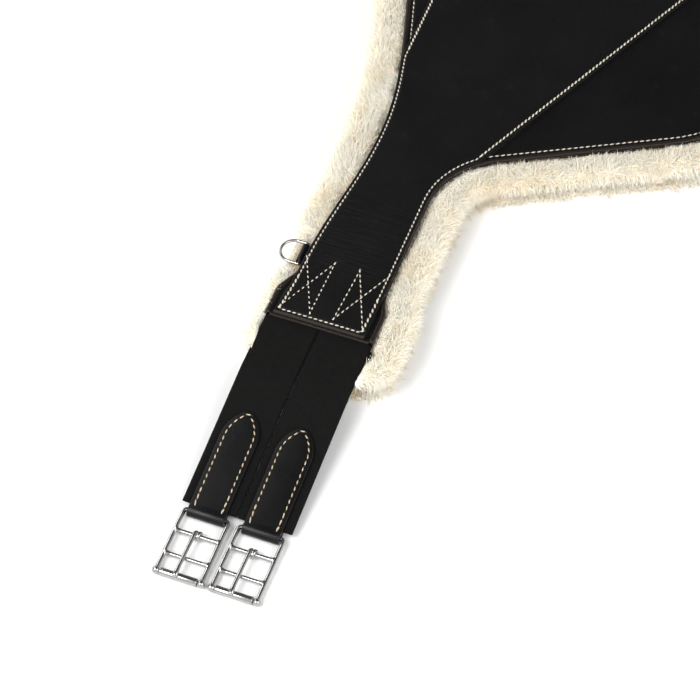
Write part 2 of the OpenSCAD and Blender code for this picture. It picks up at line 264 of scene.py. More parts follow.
GROUPS = {
    "girth_leather": GirthLeather,
    "girth_wool": GirthWool,
    "girth_thread": GirthThread,
    "girth_metal": GirthMetal,
    "girth_stage": GirthStage,
}


# ---------------------------------------------------------------- node trees

def put(tree, kind, inputs=None, **settings):
    """Adds a node, sets it up, and gives each input a value or a link."""
    node = tree.nodes.new(kind)
    for name, value in settings.items():
        setattr(node, name, value)
    for key, value in (inputs or {}).items():
        if isinstance(value, bpy.types.NodeSocket):
            tree.links.new(value, node.inputs[key])
        else:
            node.inputs[key].default_value = value
    return node


def result(tree, kind, inputs=None, output=0, **settings):
    """The output of a node that is added and set up as in put."""
    return put(tree, kind, inputs, **settings).outputs[output]


def group_tree(name, kind, inputs, outputs):
    """A node group with its sockets: inputs are (name, type, default) and outputs (name, type)."""
    tree = bpy.data.node_groups.new(name, kind)
    for label, socket, default in inputs:
        made = tree.interface.new_socket(label, in_out="INPUT", socket_type="NodeSocket" + socket)
        if default is not None:
            made.default_value = default
    for label, socket in outputs:
        tree.interface.new_socket(label, in_out="OUTPUT", socket_type="NodeSocket" + socket)
    return tree, tree.nodes.new("NodeGroupInput").outputs, tree.nodes.new("NodeGroupOutput")


def finish_group(tree, end, **results):
    """Links the group's results to its outputs."""
    for name, socket in results.items():
        tree.links.new(socket, end.inputs[name])
    return tree


def maths(tree, operation, a, b=0.5, clamp=False):
    return result(tree, "ShaderNodeMath", {0: a, 1: b}, operation=operation, use_clamp=clamp)


def weighed(tree, a, part_a, b, part_b, clamp=False):
    """Two values added, each by its part."""
    return maths(tree, "ADD", maths(tree, "MULTIPLY", a, part_a), maths(tree, "MULTIPLY", b, part_b), clamp)


def vector_maths(tree, operation, a, b):
    return result(tree, "ShaderNodeVectorMath", {0: a, "Scale" if operation == "SCALE" else 1: b},
                  operation=operation)


def xyz(tree, x=0.0, y=0.0, z=0.0):
    return result(tree, "ShaderNodeCombineXYZ", {0: x, 1: y, 2: z})


def stretched(tree, vector, *scale):
    """A vector scaled along each axis, which draws a texture out."""
    return result(tree, "ShaderNodeMapping", {"Vector": vector, "Scale": scale})


def spread(tree, value, low, high, to_low=0.0, to_high=1.0):
    """Maps a value from one range to another, held at both ends."""
    return result(tree, "ShaderNodeMapRange", {
        "Value": value, "From Min": low, "From Max": high, "To Min": to_low, "To Max": to_high})


def mixed(tree, factor, a, b):
    """A colour between a and b."""
    node = put(tree, "ShaderNodeMix", {0: factor}, data_type="RGBA")
    for socket, value in ((node.inputs[6], a), (node.inputs[7], b)):
        if isinstance(value, bpy.types.NodeSocket):
            tree.links.new(value, socket)
        else:
            socket.default_value = (*value[:3], 1.0)
    return node.outputs[2]


def cloud(tree, vector, scale, detail=4.0, rough=0.55):
    return result(tree, "ShaderNodeTexNoise", {
        "Vector": vector, "Scale": scale, "Detail": detail, "Roughness": rough})


def grain_group():
    """Leather's surface: pores, fine wrinkles and the places where it is worn."""
    tree, given, end = group_tree("Leather Grain", "ShaderNodeTree", [
        ("Vector", "Vector", None), ("Colour", "Color", (0.01, 0.01, 0.01, 1.0)),
        ("Worn", "Color", (0.05, 0.04, 0.03, 1.0)), ("Wear", "Float", 0.2), ("Pores", "Float", 1100.0),
        ("Low", "Float", 0.36), ("High", "Float", 0.56),
    ], [("Colour", "Color"), ("Roughness", "Float"), ("Height", "Float")])
    where = given["Vector"]
    broad, fine = cloud(tree, where, 26.0, 5.0), cloud(tree, where, 420.0, 3.0, 0.6)
    pores = result(tree, "ShaderNodeTexVoronoi", {"Vector": where, "Scale": given["Pores"]}, "Distance",
                   feature="DISTANCE_TO_EDGE")
    wrinkles = cloud(tree, stretched(tree, where, 1.0, 0.22, 1.0), 300.0, 3.0, 0.65)
    scuffs = spread(tree, cloud(tree, where, 75.0, 6.0, 0.7), 0.60, 0.78)
    return finish_group(
        tree, end,
        Colour=mixed(tree, maths(tree, "MULTIPLY", scuffs, given["Wear"]), given["Colour"], given["Worn"]),
        Roughness=spread(tree, weighed(tree, broad, 0.7, fine, 0.3), 0.32, 0.68, given["Low"], given["High"]),
        Height=weighed(tree, spread(tree, pores, 0.0, 0.28), 0.45, wrinkles, 0.75))


def weave_group():
    """Woven web: ribs across it and yarns along it, from a UV map in metres. The crowns of the ribs and yarns take the
    lighter colour as a painted highlight, stronger where there is lint.
    """
    tree, given, end = group_tree("Web Weave", "ShaderNodeTree", [
        ("Vector", "Vector", None), ("Colour", "Color", (0.01, 0.01, 0.01, 1.0)),
        ("Light", "Color", (0.03, 0.03, 0.03, 1.0)), ("Ribs", "Float", 900.0), ("Yarns", "Float", 1100.0),
    ], [("Colour", "Color"), ("Height", "Float"), ("Roughness", "Float")])
    where = given["Vector"]
    parts = put(tree, "ShaderNodeSeparateXYZ", {0: where}).outputs
    jitter = maths(tree, "MULTIPLY", cloud(tree, where, 500.0, 2.0), 1.3)

    def waves(part, count):
        across = maths(tree, "ADD", maths(tree, "MULTIPLY", part, count), jitter)
        return maths(tree, "ABSOLUTE", maths(tree, "SINE", maths(tree, "MULTIPLY", across, math.pi)))

    height = weighed(tree, waves(parts[0], given["Yarns"]), 0.5, waves(parts[1], given["Ribs"]), 0.5)
    lint = spread(tree, cloud(tree, where, 160.0, 5.0, 0.7), 0.35, 0.75)
    # The weave's raised crowns take the lighter colour: a painted highlight, scaled by the lint's patches
    tone = maths(tree, "MULTIPLY", height, maths(tree, "ADD", lint, 0.35), clamp=True)
    return finish_group(tree, end, Colour=mixed(tree, tone, given["Colour"], given["Light"]), Height=height,
                        Roughness=spread(tree, lint, 0.0, 1.0, 0.74, 0.92))


def polish_group():
    """Polished steel: fine rubbing marks and faint smears."""
    tree, given, end = group_tree("Steel Polish", "ShaderNodeTree", [
        ("Vector", "Vector", None), ("Low", "Float", 0.10), ("High", "Float", 0.26),
        ("Colour", "Color", (0.7, 0.7, 0.7, 1.0)), ("Dull", "Color", (0.45, 0.44, 0.42, 1.0)),
    ], [("Colour", "Color"), ("Roughness", "Float"), ("Height", "Float")])
    marks = cloud(tree, stretched(tree, given["Vector"], 1.0, 6.0, 6.0), 900.0, 3.0, 0.7)
    smears = cloud(tree, given["Vector"], 120.0, 4.0)
    return finish_group(
        tree, end, Height=marks,
        Colour=mixed(tree, spread(tree, smears, 0.55, 0.8, 0.0, 0.5), given["Colour"], given["Dull"]),
        Roughness=spread(tree, weighed(tree, marks, 0.4, smears, 0.6), 0.3, 0.7, given["Low"], given["High"]))


def shader(name, **constants):
    """A material with its Principled shader, whose sockets take the constants given."""
    made = bpy.data.materials.new(name)
    made.use_nodes = True
    tree = made.node_tree
    bsdf = tree.nodes["Principled BSDF"]
    for label, value in constants.items():
        bsdf.inputs[label.replace("_", " ")].default_value = value
    return made, tree, bsdf


def place(tree, source="Object"):
    return tree.nodes.new("ShaderNodeTexCoord").outputs[source]


def bumped(tree, bsdf, height, depth, strength=1.0):
    bump = put(tree, "ShaderNodeBump", {"Height": height, "Distance": depth, "Strength": strength})
    tree.links.new(bump.outputs[0], bsdf.inputs["Normal"])


def darker(colour, part):
    return tuple(part * channel for channel in colour)


def coat(tree, bsdf, group, vector, **values):
    """Puts a finish group on a shader's colour and roughness, and returns its height."""
    inputs = {key: (*value, 1.0) if isinstance(value, tuple) else value for key, value in values.items()}
    node = put(tree, "ShaderNodeGroup", {"Vector": vector, **inputs}, node_tree=group)
    tree.links.new(node.outputs["Colour"], bsdf.inputs["Base Color"])
    tree.links.new(node.outputs["Roughness"], bsdf.inputs["Roughness"])
    return node.outputs["Height"]


NECK = (0.262, 0.362)
NECK_FADE = (0.03, 0.02)


def neck_creases(tree, height, depth):
    """Adds the fine creases across the neck, where the girth bends most, to a height."""
    reach = maths(tree, "ABSOLUTE", result(tree, "ShaderNodeSeparateXYZ", {0: place(tree)}))
    (start, stop), (rise, fall) = NECK, NECK_FADE
    within = maths(tree, "MULTIPLY", spread(tree, reach, start, start + rise),
                   spread(tree, reach, stop - fall, stop, 1.0, 0.0))
    across = stretched(tree, place(tree), 1.0, 0.13, 1.0)
    lines = maths(tree, "MULTIPLY", cloud(tree, across, 330.0, 2.0, 0.5), depth)
    return maths(tree, "ADD", height, maths(tree, "MULTIPLY", lines, within))


def grained(name, group, colour, worn, wear=0.2, pores=1100.0, low=0.36, high=0.56, depth=0.00012, creases=0.0,
            **constants):
    """A leather."""
    made, tree, bsdf = shader(name, **constants)
    height = coat(tree, bsdf, group, place(tree), Colour=colour, Worn=worn, Wear=wear, Pores=pores,
                  Low=low, High=high)
    bumped(tree, bsdf, neck_creases(tree, height, creases) if creases else height, depth)
    return made


def woven(name, group, colour, light, source, ribs, yarns, depth, **constants):
    """A woven web or cloth."""
    made, tree, bsdf = shader(name, **constants)
    # light is the colour of the weave's crowns: a painted highlight, with lint
    height = coat(tree, bsdf, group, place(tree, source), Colour=colour, Light=light, Ribs=ribs, Yarns=yarns)
    bumped(tree, bsdf, height, depth)
    return made


def polished(name, group, colour, low, high):
    """A polished metal."""
    made, tree, bsdf = shader(name, Metallic=1.0)
    height = coat(tree, bsdf, group, place(tree), Colour=colour, Dull=darker(colour, 0.72), Low=low, High=high)
    bumped(tree, bsdf, height, 0.000012)
    return made


def mottled(name, colour, scale, detail, dark, depth, low=0.0, high=1.0, **constants):
    """A plain stuff with a mottle between its colour and a darker one."""
    made, tree, bsdf = shader(name, **constants)
    mottle = cloud(tree, place(tree), scale, detail)
    factor = mottle if (low, high) == (0.0, 1.0) else spread(tree, mottle, low, high)
    tree.links.new(mixed(tree, factor, darker(colour, dark), colour), bsdf.inputs["Base Color"])
    bumped(tree, bsdf, mottle, depth)
    return made


def twisted_thread(name, colour):
    """Waxed thread whose mottle also drives its bump, so the raised crowns of its twist are lighter and the hollows
    darker: painted shade.
    """
    # The darker colour in the mottle's hollows is painted shade between the twist's crowns
    return mottled(name, colour, 900.0, 3.0, 0.62, 0.0002, 0.35, 0.6, Roughness=0.62, Sheen_Weight=0.25)


def cut_edge(name, colour):
    """Cut leather, with the layers of its fibres showing."""
    made, tree, bsdf = shader(name)
    fibres = cloud(tree, stretched(tree, place(tree), 1.0, 1.0, 5.0), 420.0, 5.0, 0.7)
    tone = mixed(tree, spread(tree, fibres, 0.36, 0.66), darker(colour, 0.30), colour)
    tree.links.new(tone, bsdf.inputs["Base Color"])
    tree.links.new(spread(tree, fibres, 0.3, 0.7, 0.55, 0.85), bsdf.inputs["Roughness"])
    bumped(tree, bsdf, fibres, 0.0003)
    return made


def wool_finish(name, tip, root, by_lock):
    """Sheepskin wool: pale tips over roots in the root colour, which is partly the wool's own tone and partly painted
    shade low in the pile, in soft patches that also carry painted warm shade.
    """
    made, tree, bsdf = shader(name, Roughness=0.88, Sheen_Weight=0.35, Sheen_Roughness=0.5,
                              Subsurface_Weight=0.12, Subsurface_Scale=0.004)
    where = place(tree)

    def stored(label):
        return result(tree, "ShaderNodeAttribute", None, "Fac", attribute_name=label)

    patches = spread(tree, cloud(tree, where, 38.0, 5.0, 0.62), 0.44, 0.70)
    # Adds the painted warm shade that wool_body stores beside the leather and along the rim to the wool's random
    # patches
    patches = maths(tree, "ADD", patches, maths(tree, "MULTIPLY", stored("warm_shade"), 1.5))
    if by_lock:
        # Towards each lock's root the colour turns to the root colour: partly the wool's own tone, partly painted
        # shade low in the pile
        deep = spread(tree, stored("tip"), 0.0, 0.55, 1.0, 0.0)
        shade_and_root_tone = weighed(tree, deep, 0.45, patches, 0.40, clamp=True)
        pale = tuple(min(1.0, channel) for channel in darker(tip, 1.04))
        colour = mixed(tree, maths(tree, "MULTIPLY", stored("tone"), 0.5), mixed(tree, shade_and_root_tone, tip, root), pale)
    else:
        fine = cloud(tree, where, 330.0, 4.0, 0.6)
        colour = mixed(tree, weighed(tree, patches, 0.35, fine, 0.2, clamp=True), tip, root)
        bumped(tree, bsdf, fine, 0.0012)
    tree.links.new(colour, bsdf.inputs["Base Color"])
    return made


def plain_layer(name, colour, scale, depth):
    """A hidden layer such as foam or board, with its own mottle."""
    return mottled(name, colour, scale, 4.0, 0.7, depth, Roughness=0.8)


def make_materials(scene):
    """Every finish of the girth, by the name of its slot."""
    leather, wool = scene.girth_leather, scene.girth_wool
    grain, weave, polish = grain_group(), weave_group(), polish_group()
    black, brown, raw = tuple(leather.colour), tuple(leather.edge), tuple(leather.raw)
    steel = tuple(scene.girth_metal.colour)
    return {
        "strap_leather": grained("Strap leather", grain, black, (0.020, 0.019, 0.019), wear=0.35,
                                 low=0.38, high=0.54, creases=leather.crease, Specular_IOR_Level=0.20),
        "black_leather": grained("Black leather", grain, black, (0.020, 0.019, 0.019), wear=0.35,
                                 low=0.38, high=0.54, Specular_IOR_Level=0.18),
        "tab_leather": grained("Tab leather", grain, black, (0.016, 0.015, 0.015), wear=0.3, pores=1500.0,
                               low=0.25, high=0.40, depth=0.00007, Specular_IOR_Level=0.30),
        "edge_leather": grained("Rolled edge", grain, brown, raw, wear=0.2, pores=900.0, low=0.22, high=0.42,
                                depth=0.00015, Specular_IOR_Level=0.25),
        "lining_leather": grained("Lining leather", grain, (0.03, 0.022, 0.018), raw),
        "hide": grained("Hide", grain, (0.55, 0.42, 0.28), (0.7, 0.6, 0.45), low=0.7, high=0.9),
        "raw_edge": cut_edge("Cut edge", raw),
        # The webs' second colours are a painted highlight on the weave's crowns, with some lint
        "elastic": woven("Elastic web", weave, (0.0026, 0.0026, 0.0025), (0.0080, 0.0078, 0.0074), "UV",
                         620.0, 800.0, 0.00022, Specular_IOR_Level=0.11),
        "webbing": woven("Load webbing", weave, (0.4, 0.38, 0.34), (0.62, 0.6, 0.55), "Object",
                         500.0, 500.0, 0.0003),
        "board": plain_layer("Fibre board", (0.2, 0.15, 0.1), 300.0, 0.0002),
        "foam": plain_layer("Foam", (0.12, 0.13, 0.15), 800.0, 0.0003),
        "thread": twisted_thread("Cream thread", tuple(scene.girth_thread.colour)),
        "tab_thread": twisted_thread("Tan thread", tuple(scene.girth_thread.tab_colour)),
        "hole": plain_layer("Stitch hole", (0.035, 0.020, 0.012), 700.0, 0.0001),
        "steel": polished("Polished steel", polish, steel, 0.10, 0.24),
        "wool": wool_finish("Wool", tuple(wool.tip), tuple(wool.root), by_lock=False),
        "locks": wool_finish("Wool locks", tuple(wool.tip), tuple(wool.root), by_lock=True),
    }


# ---------------------------------------------------------------- outlines

def cap_loops(node, top=True):
    """The outlines of a flat node's upper or lower face as points in X and Y, the longest first."""
    mesh = bmesh.new()
    mesh.from_mesh(frame["nodes"][node].data)
    bmesh.ops.remove_doubles(mesh, verts=mesh.verts, dist=1e-6)
    heights = [vert.co.z for vert in mesh.verts]
    level = max(heights) if top else min(heights)
    cap = {face for face in mesh.faces if all(abs(vert.co.z - level) < 1e-5 for vert in face.verts)}
    follow = {}
    for edge in mesh.edges:
        inner = [face for face in edge.link_faces if face in cap]
        if len(inner) == 1:
            loop = next(loop for loop in edge.link_loops if loop.face == inner[0])
            follow[loop.vert] = loop.link_loop_next.vert
    loops = []
    while follow:
        start, here = next(iter(follow.items()))
        del follow[start]
        points = [start.co.xy]
        while here != start:
            points.append(here.co.xy)
            here = follow.pop(here)
        loops.append(np.array(points))
    mesh.free()
    loops.sort(key=lambda points: -abs(loop_area(points)))
    return [points if loop_area(points) > 0 else points[::-1] for points in loops]


def cap_loop(node):
    return cap_loops(node)[0]


def leather_sides(step):
    """The leather's front and rear edges from the near end to the off end, as the rolled edge has them."""
    inner = near_tree(even(cap_loop("body_panel"), 0.5 * MM))
    low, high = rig.box("body_panel")
    sides = {}
    for strip in cap_loops("edge_binding", top=False)[:2]:
        strip = even(strip, 0.5 * MM)
        outer = np.array([p for p in strip if distance_to(inner, *p) > 1.9 * MM])
        side = "front" if strip[:, 1].mean() > 0.5 * (low.y + high.y) else "rear"
        gaps = np.linalg.norm(np.roll(outer, -1, axis=0) - outer, axis=1)
        outer = np.roll(outer, -(int(np.argmax(gaps)) + 1), axis=0)
        if outer[0][0] > outer[-1][0]:
            outer = outer[::-1]
        ends = [(low.x, outer[0][1]), (high.x, outer[-1][1])]
        sides[side] = even(np.vstack([ends[:1], outer, ends[1:]]), step, closed=False)
    return sides


def into_leather(side, path):
    """Unit normals along one side of the leather, pointing into it."""
    along = np.gradient(path, axis=0)
    inner = np.stack([along[:, 1], -along[:, 0]], axis=1) / np.linalg.norm(along, axis=1, keepdims=True)
    return inner if side == "front" else -inner


def leather_outline(step):
    """The whole outline of the leather, anticlockwise."""
    sides = leather_sides(step)
    return even(np.vstack([sides["rear"], sides["front"][::-1]]), step)


def loop_area(points):
    after = np.roll(points, -1, axis=0)
    return 0.5 * float(np.sum(points[:, 0] * after[:, 1] - points[:, 1] * after[:, 0]))


def even(points, step, closed=True):
    """The same line with points a step apart."""
    line = np.vstack([points, points[:1]]) if closed else np.asarray(points)
    run = np.concatenate([[0.0], np.cumsum(np.linalg.norm(np.diff(line, axis=0), axis=1))])
    count = max(3, int(round(run[-1] / step)))
    marks = np.linspace(0.0, run[-1], count + 1)
    marks = marks[:-1] if closed else marks
    return np.stack([np.interp(marks, run, line[:, k]) for k in range(line.shape[1])], axis=1)


def inward(points):
    """Unit normals that point into an anticlockwise loop."""
    along = np.roll(points, -1, axis=0) - np.roll(points, 1, axis=0)
    side = np.stack([-along[:, 1], along[:, 0]], axis=1)
    return side / np.linalg.norm(side, axis=1, keepdims=True)


def inset(points, distance):
    return points + inward(points) * distance


def ring_in(loop, distance):
    """The loop drawn in by a distance. Points that would cross at a corner gather in it."""
    ring = inset(loop, distance)
    if distance <= 0.0:
        return ring
    tree = near_tree(loop)
    good = [distance_to(tree, x, y) > 0.9 * distance for x, y in ring]
    marks = [k for k, kept in enumerate(good) if kept]
    count = len(ring)
    for k in range(count):
        if not good[k]:
            ring[k] = ring[min(marks, key=lambda m: min(abs(m - k), count - abs(m - k)))]
    return ring


def inside(points, loop):
    """Which points lie inside a loop."""
    x, y = points[:, 0][:, None], points[:, 1][:, None]
    a, b = loop, np.roll(loop, -1, axis=0)
    crosses = (a[:, 1] > y) != (b[:, 1] > y)
    with np.errstate(divide="ignore", invalid="ignore"):
        at = a[:, 0] + (y - a[:, 1]) * (b[:, 0] - a[:, 0]) / (b[:, 1] - a[:, 1])
    return (np.sum(crosses & (x < at), axis=1) % 2) == 1


def runs(points, keep):
    """The stretches of a line whose points are kept."""
    found, run = [], []
    for point, kept in zip(points, keep):
        if kept:
            run.append(point)
        elif run:
            found.append(run)
            run = []
    return [run for run in (*found, run) if len(run) > 2]


def near_tree(points):
    """A search tree over points in the plane."""
    tree = kdtree.KDTree(len(points))
    for index, point in enumerate(points):
        tree.insert((point[0], point[1], 0.0), index)
    tree.balance()
    return tree


def distance_to(tree, x, y):
    return tree.find((x, y, 0.0))[2]


# ---------------------------------------------------------------- meshes

def link(name, mesh):
    made = bpy.data.objects.new(name, mesh)
    bpy.context.scene.collection.objects.link(made)
    return made


def make_object(name, verts, faces, finish, smooth=True):
    mesh = bpy.data.meshes.new(name)
    mesh.from_pydata([tuple(vert) for vert in verts], [], [tuple(face) for face in faces])
    mesh.validate()
    mesh.materials.append(FINISH[finish])
    mesh.polygons.foreach_set("use_smooth", [smooth] * len(mesh.polygons))
    return link(name, mesh)


def refinish(obj, finish):
    """One smooth finish over the whole mesh."""
    obj.data.materials.clear()
    obj.data.materials.append(FINISH[finish])
    obj.data.polygons.foreach_set("use_smooth", [True] * len(obj.data.polygons))


def outward(obj, weld=True):
    """Turns a closed mesh's faces outwards."""
    mesh = bmesh.new()
    mesh.from_mesh(obj.data)
    if weld:
        bmesh.ops.remove_doubles(mesh, verts=mesh.verts, dist=1e-7)
    bmesh.ops.recalc_face_normals(mesh, faces=mesh.faces)
    mesh.to_mesh(obj.data)
    mesh.free()
    return obj


def settle(obj, body, slot, *nodes):
    """A finished piece: it rides on a body, stands for CAD nodes and takes a slot's finish."""
    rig.ride(obj, body)
    if nodes:
        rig.replaces(obj, *nodes)
    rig.slot(obj, slot)
    return obj


def baked(obj, name):
    """The object with its modifiers turned into a plain mesh."""
    depsgraph = bpy.context.evaluated_depsgraph_get()
    made = link(name, bpy.data.meshes.new_from_object(obj.evaluated_get(depsgraph), depsgraph=depsgraph))
    for modifier in list(obj.modifiers):
        obj.modifiers.remove(modifier)
    bpy.data.objects.remove(obj)
    return made


def in_cells(node, cell):
    """A welded copy of a CAD node's mesh, to be remeshed in cells."""
    mesh = bmesh.new()
    mesh.from_mesh(frame["nodes"][node].data)
    bmesh.ops.remove_doubles(mesh, verts=mesh.verts, dist=1e-6)
    data = bpy.data.meshes.new(node + "_copy")
    mesh.to_mesh(data)
    mesh.free()
    made = link(node + "_copy", data)
    remesh = made.modifiers.new("Cells", "REMESH")
    remesh.mode = "VOXEL"
    remesh.voxel_size = cell
    return made


def around(count, start, after):
    """The faces between two closed rows of points."""
    return [(start + k, start + (k + 1) % count, after + (k + 1) % count, after + k) for k in range(count)]


def tube(rows, count, start=0):
    """The faces of a tube of closed rows, with a cap at each end."""
    faces = [face for row in range(rows - 1)
             for face in around(count, start + row * count, start + (row + 1) * count)]
    last = start + (rows - 1) * count
    return faces + [tuple(range(start, start + count)), tuple(reversed(range(last, last + count)))]


def on_circle(k, count):
    """The cosine and sine of one of the points round a circle."""
    angle = 2 * math.pi * k / count
    return math.cos(angle), math.sin(angle)


def fill(loop, step, margin):
    """Triangles that fill a loop, with inner points a step apart. The loop's points come first."""
    low, high = loop.min(axis=0), loop.max(axis=0)
    rows = np.arange(low[1] + step / 2, high[1], step * 0.87)
    grid = np.array([(x + (row % 2) * step / 2, y) for row, y in enumerate(rows)
                     for x in np.arange(low[0] + step / 2, high[0], step)])
    grid = grid[inside(grid, loop)]
    tree = near_tree(loop)
    grid = np.array([p for p in grid if distance_to(tree, *p) > margin])
    points = np.vstack([loop, grid]) if len(grid) else loop
    border = [(k, (k + 1) % len(loop)) for k in range(len(loop))]
    made = geometry.delaunay_2d_cdt([Vector(p) for p in points], border, [], 1, 1e-7)
    return np.array([tuple(v) for v in made[0]]), [tuple(f) for f in made[2]]


def flat_piece(name, loop, profile, step, finish, relief, raw):
    """A flat piece inside a loop. The profile runs from the underside round the edge to the top, as (inset, z).

    relief(x, y) lifts the top's inner points, and raw(band, x) says which parts of the edge show as cut leather.
    """
    rings = [ring_in(loop, distance) for distance, _ in profile]
    count, bottom_z, top_z = len(loop), profile[0][1], profile[-1][1]
    verts, faces, bands = [], [], []
    for band, (ring, (_, z)) in enumerate(zip(rings, profile)):
        verts.extend((x, y, z) for x, y in ring)
        if band:
            faces.extend(around(count, (band - 1) * count, band * count))
            bands.extend([band - 1] * count)
    for points, z, turn, mark in ((fill(rings[-1], step, step * 0.6), top_z, 1, len(rings)),
                                  (fill(rings[0], 0.012, 0.006), bottom_z, -1, -1)):
        start = len(verts)
        verts.extend((x, y, z) for x, y in points[0])
        faces.extend(tuple(start + k for k in face[::turn]) for face in points[1])
        bands.extend([mark] * len(points[1]))
    made = make_object(name, verts, faces, finish)
    made.data.materials.append(FINISH["raw_edge"])
    made.data.polygons.foreach_set("material_index", [
        int(0 <= band < len(rings) and raw(band, verts[face[0]][0])) for band, face in zip(bands, faces)])
    outward(made)
    floor = bottom_z + 0.4 * (top_z - bottom_z)
    for vert in made.data.vertices:
        if vert.co.z > floor:
            vert.co.z += relief(vert.co.x, vert.co.y)
    return made


def wire(name, stations, finish, turns=14):
    """A wire through stations of (centre, side, up, half width, half height), with oval sections."""
    verts = [centre + side * (wide * cos) + up * (tall * sin) for centre, side, up, wide, tall in stations
             for cos, sin in (on_circle(k, turns) for k in range(turns))]
    return outward(make_object(name, verts, tube(len(stations), turns), finish))


def rounded_bar(half_w, half_t, corner, steps=3):
    """A closed section: a rectangle with round corners, as (side, height) points."""
    points = []
    for quarter, (sx, sy) in enumerate(((1, 1), (-1, 1), (-1, -1), (1, -1))):
        for k in range(steps + 1):
            angle = math.radians(90 * quarter + 90 * k / steps)
            points.append((sx * (half_w - corner) + corner * math.cos(angle),
                           sy * (half_t - corner) + corner * math.sin(angle)))
    return points


# ---------------------------------------------------------------- seams

def seam_tree():
    """Lays stitches along every edge of a line: rods with round ends, and a hole between each two."""
    tree, given, end = group_tree("Seam", "GeometryNodeTree", [
        ("Geometry", "Geometry", None), ("Pitch", "Float", 0.0034), ("Length", "Float", 0.0026),
        ("Width", "Float", 0.001), ("Height", "Float", 0.0008), ("Slant", "Float", 0.1),
        ("Thread", "Material", None), ("Hole", "Material", None),
    ], [("Geometry", "Geometry")])
    tangent = tree.nodes.new("GeometryNodeInputTangent").outputs[0]
    curve = result(tree, "GeometryNodeMeshToCurve", {"Mesh": given["Geometry"]})
    spaced = result(tree, "GeometryNodeResampleCurve", {"Curve": curve, "Length": given["Pitch"]}, mode="LENGTH")
    heading = result(tree, "FunctionNodeAlignRotationToVector", {"Vector": tangent}, axis="X", pivot_axis="Z")
    wobble = result(tree, "FunctionNodeRandomValue", {2: -0.05, 3: 0.05, "Seed": 4}, 1, data_type="FLOAT")
    slant = xyz(tree, z=maths(tree, "ADD", given["Slant"], wobble))
    turned = result(tree, "FunctionNodeRotateRotation", {"Rotation": heading, "Rotate By": slant},
                    rotation_space="LOCAL")

    def share_of(size, part):
        return maths(tree, "MULTIPLY", given[size], part)

    def moved(shape, **change):
        return result(tree, "GeometryNodeTransform", {"Geometry": shape, **change})

    def ball(rings):
        return result(tree, "GeometryNodeMeshUVSphere", {"Segments": 6, "Rings": rings, "Radius": 1.0})

    def laid(points, shape, rotation, finish):
        placed = result(tree, "GeometryNodeInstanceOnPoints", {
            "Points": points, "Instance": shape, "Rotation": rotation})
        return result(tree, "GeometryNodeSetMaterial", {"Geometry": placed, "Material": given[finish]})

    lying = moved(ball(6), Rotation=Euler((0, math.pi / 2, 0)))
    rod = moved(lying, Scale=xyz(tree, *(share_of(size, 0.5) for size in ("Length", "Width", "Height"))))
    pit = moved(ball(4), Scale=xyz(tree, share_of("Width", 0.62), share_of("Width", 0.62),
                                   share_of("Height", 0.16)))
    shift = vector_maths(tree, "SCALE", tangent, share_of("Pitch", 0.5))
    between = result(tree, "GeometryNodeSetPosition", {"Geometry": spaced, "Offset": shift})
    both = tree.nodes.new("GeometryNodeJoinGeometry")
    for stitching in (laid(spaced, rod, turned, "Thread"), laid(between, pit, heading, "Hole")):
        tree.links.new(stitching, both.inputs[0])
    real = result(tree, "GeometryNodeRealizeInstances", {"Geometry": both.outputs[0]})
    return finish_group(tree, end, Geometry=result(tree, "GeometryNodeSetShadeSmooth", {"Geometry": real}))


def grown(carrier, tree, name, **values):
    """What a Geometry Nodes group makes on a carrier, as a plain mesh."""
    modifier = carrier.modifiers.new(name, "NODES")
    modifier.node_group = tree
    sockets = {item.name: item.identifier for item in tree.interface.items_tree if item.in_out == "INPUT"}
    for label, value in values.items():
        modifier[sockets[label]] = value
    return baked(carrier, name)


def sew(name, lines, body, thread, pitch, width, slant=0.1, height=0.0008, cover=0.72):
    """Stitches along lines of points, each covering its share of the pitch. Points are in the row frame."""
    tree = bpy.data.node_groups.get("Seam") or seam_tree()
    verts, edges = [], []
    for line in lines:
        start = len(verts)
        verts.extend(tuple(point) for point in line)
        edges.extend((start + k, start + k + 1) for k in range(len(line) - 1))
    mesh = bpy.data.meshes.new(name + "_line")
    mesh.from_pydata(verts, edges, [])
    made = grown(link(name + "_line", mesh), tree, name, Pitch=pitch, Length=pitch * cover, Width=width,
                 Height=height, Slant=slant, Thread=FINISH[thread], Hole=FINISH["hole"])
    return settle(made, body, thread)


# ---------------------------------------------------------------- wool

WOOL_CELL = 4.0 * MM
WOOL_PIECES = 6
STUD_R = 3.8 * MM
# How high the wool stands beside the leather, and the roll on top of that
WOOL_BESIDE, WOOL_ROLL = 5.2 * MM, 1.8 * MM
# How far in the rim swells, its least push outwards and what its middle adds
RIM_REACH, RIM_PUSH, RIM_BULGE = 20 * MM, 4 * MM, 8 * MM
# The wool is combed away from the leather within this distance, and sideways at the webs past the strap's end
COMB_REACH, COMB_END = 14 * MM, 6 * MM
# Where locks start to show beside the leather, the webs and the studs, and over what length
EDGE_CLEAR, WEB_CLEAR, STUD_CLEAR = (0.2 * MM, 1.4 * MM), (2.6 * MM, 4 * MM), (0.8 * MM, 3 * MM)
# The wool is pressed down round a ring and a stud, and held to the leather's edge
RING_PRESS, STUD_PRESS, HOLD = (12 * MM, 12 * MM), (0.5 * MM, 5 * MM), 2.2 * MM
# Painted warm shade in the root colour, in patches beside the leather's raised edge and along the rim: the patches'
# scale, and how far the shade reaches from the leather and from the rim
WARM_SHADE_SCALE, WARM_SHADE_AT_EDGE, WARM_SHADE_AT_RIM = 46.0, 7 * MM, 9 * MM
UNDER_FUZZ = 0.16


def stud_places():
    """The liner's studs in X and Y."""
    low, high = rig.box("liner_studs")
    return [(sign * (high.x - STUD_R), y) for sign in ENDS.values() for y in (low.y + STUD_R, high.y - STUD_R)]


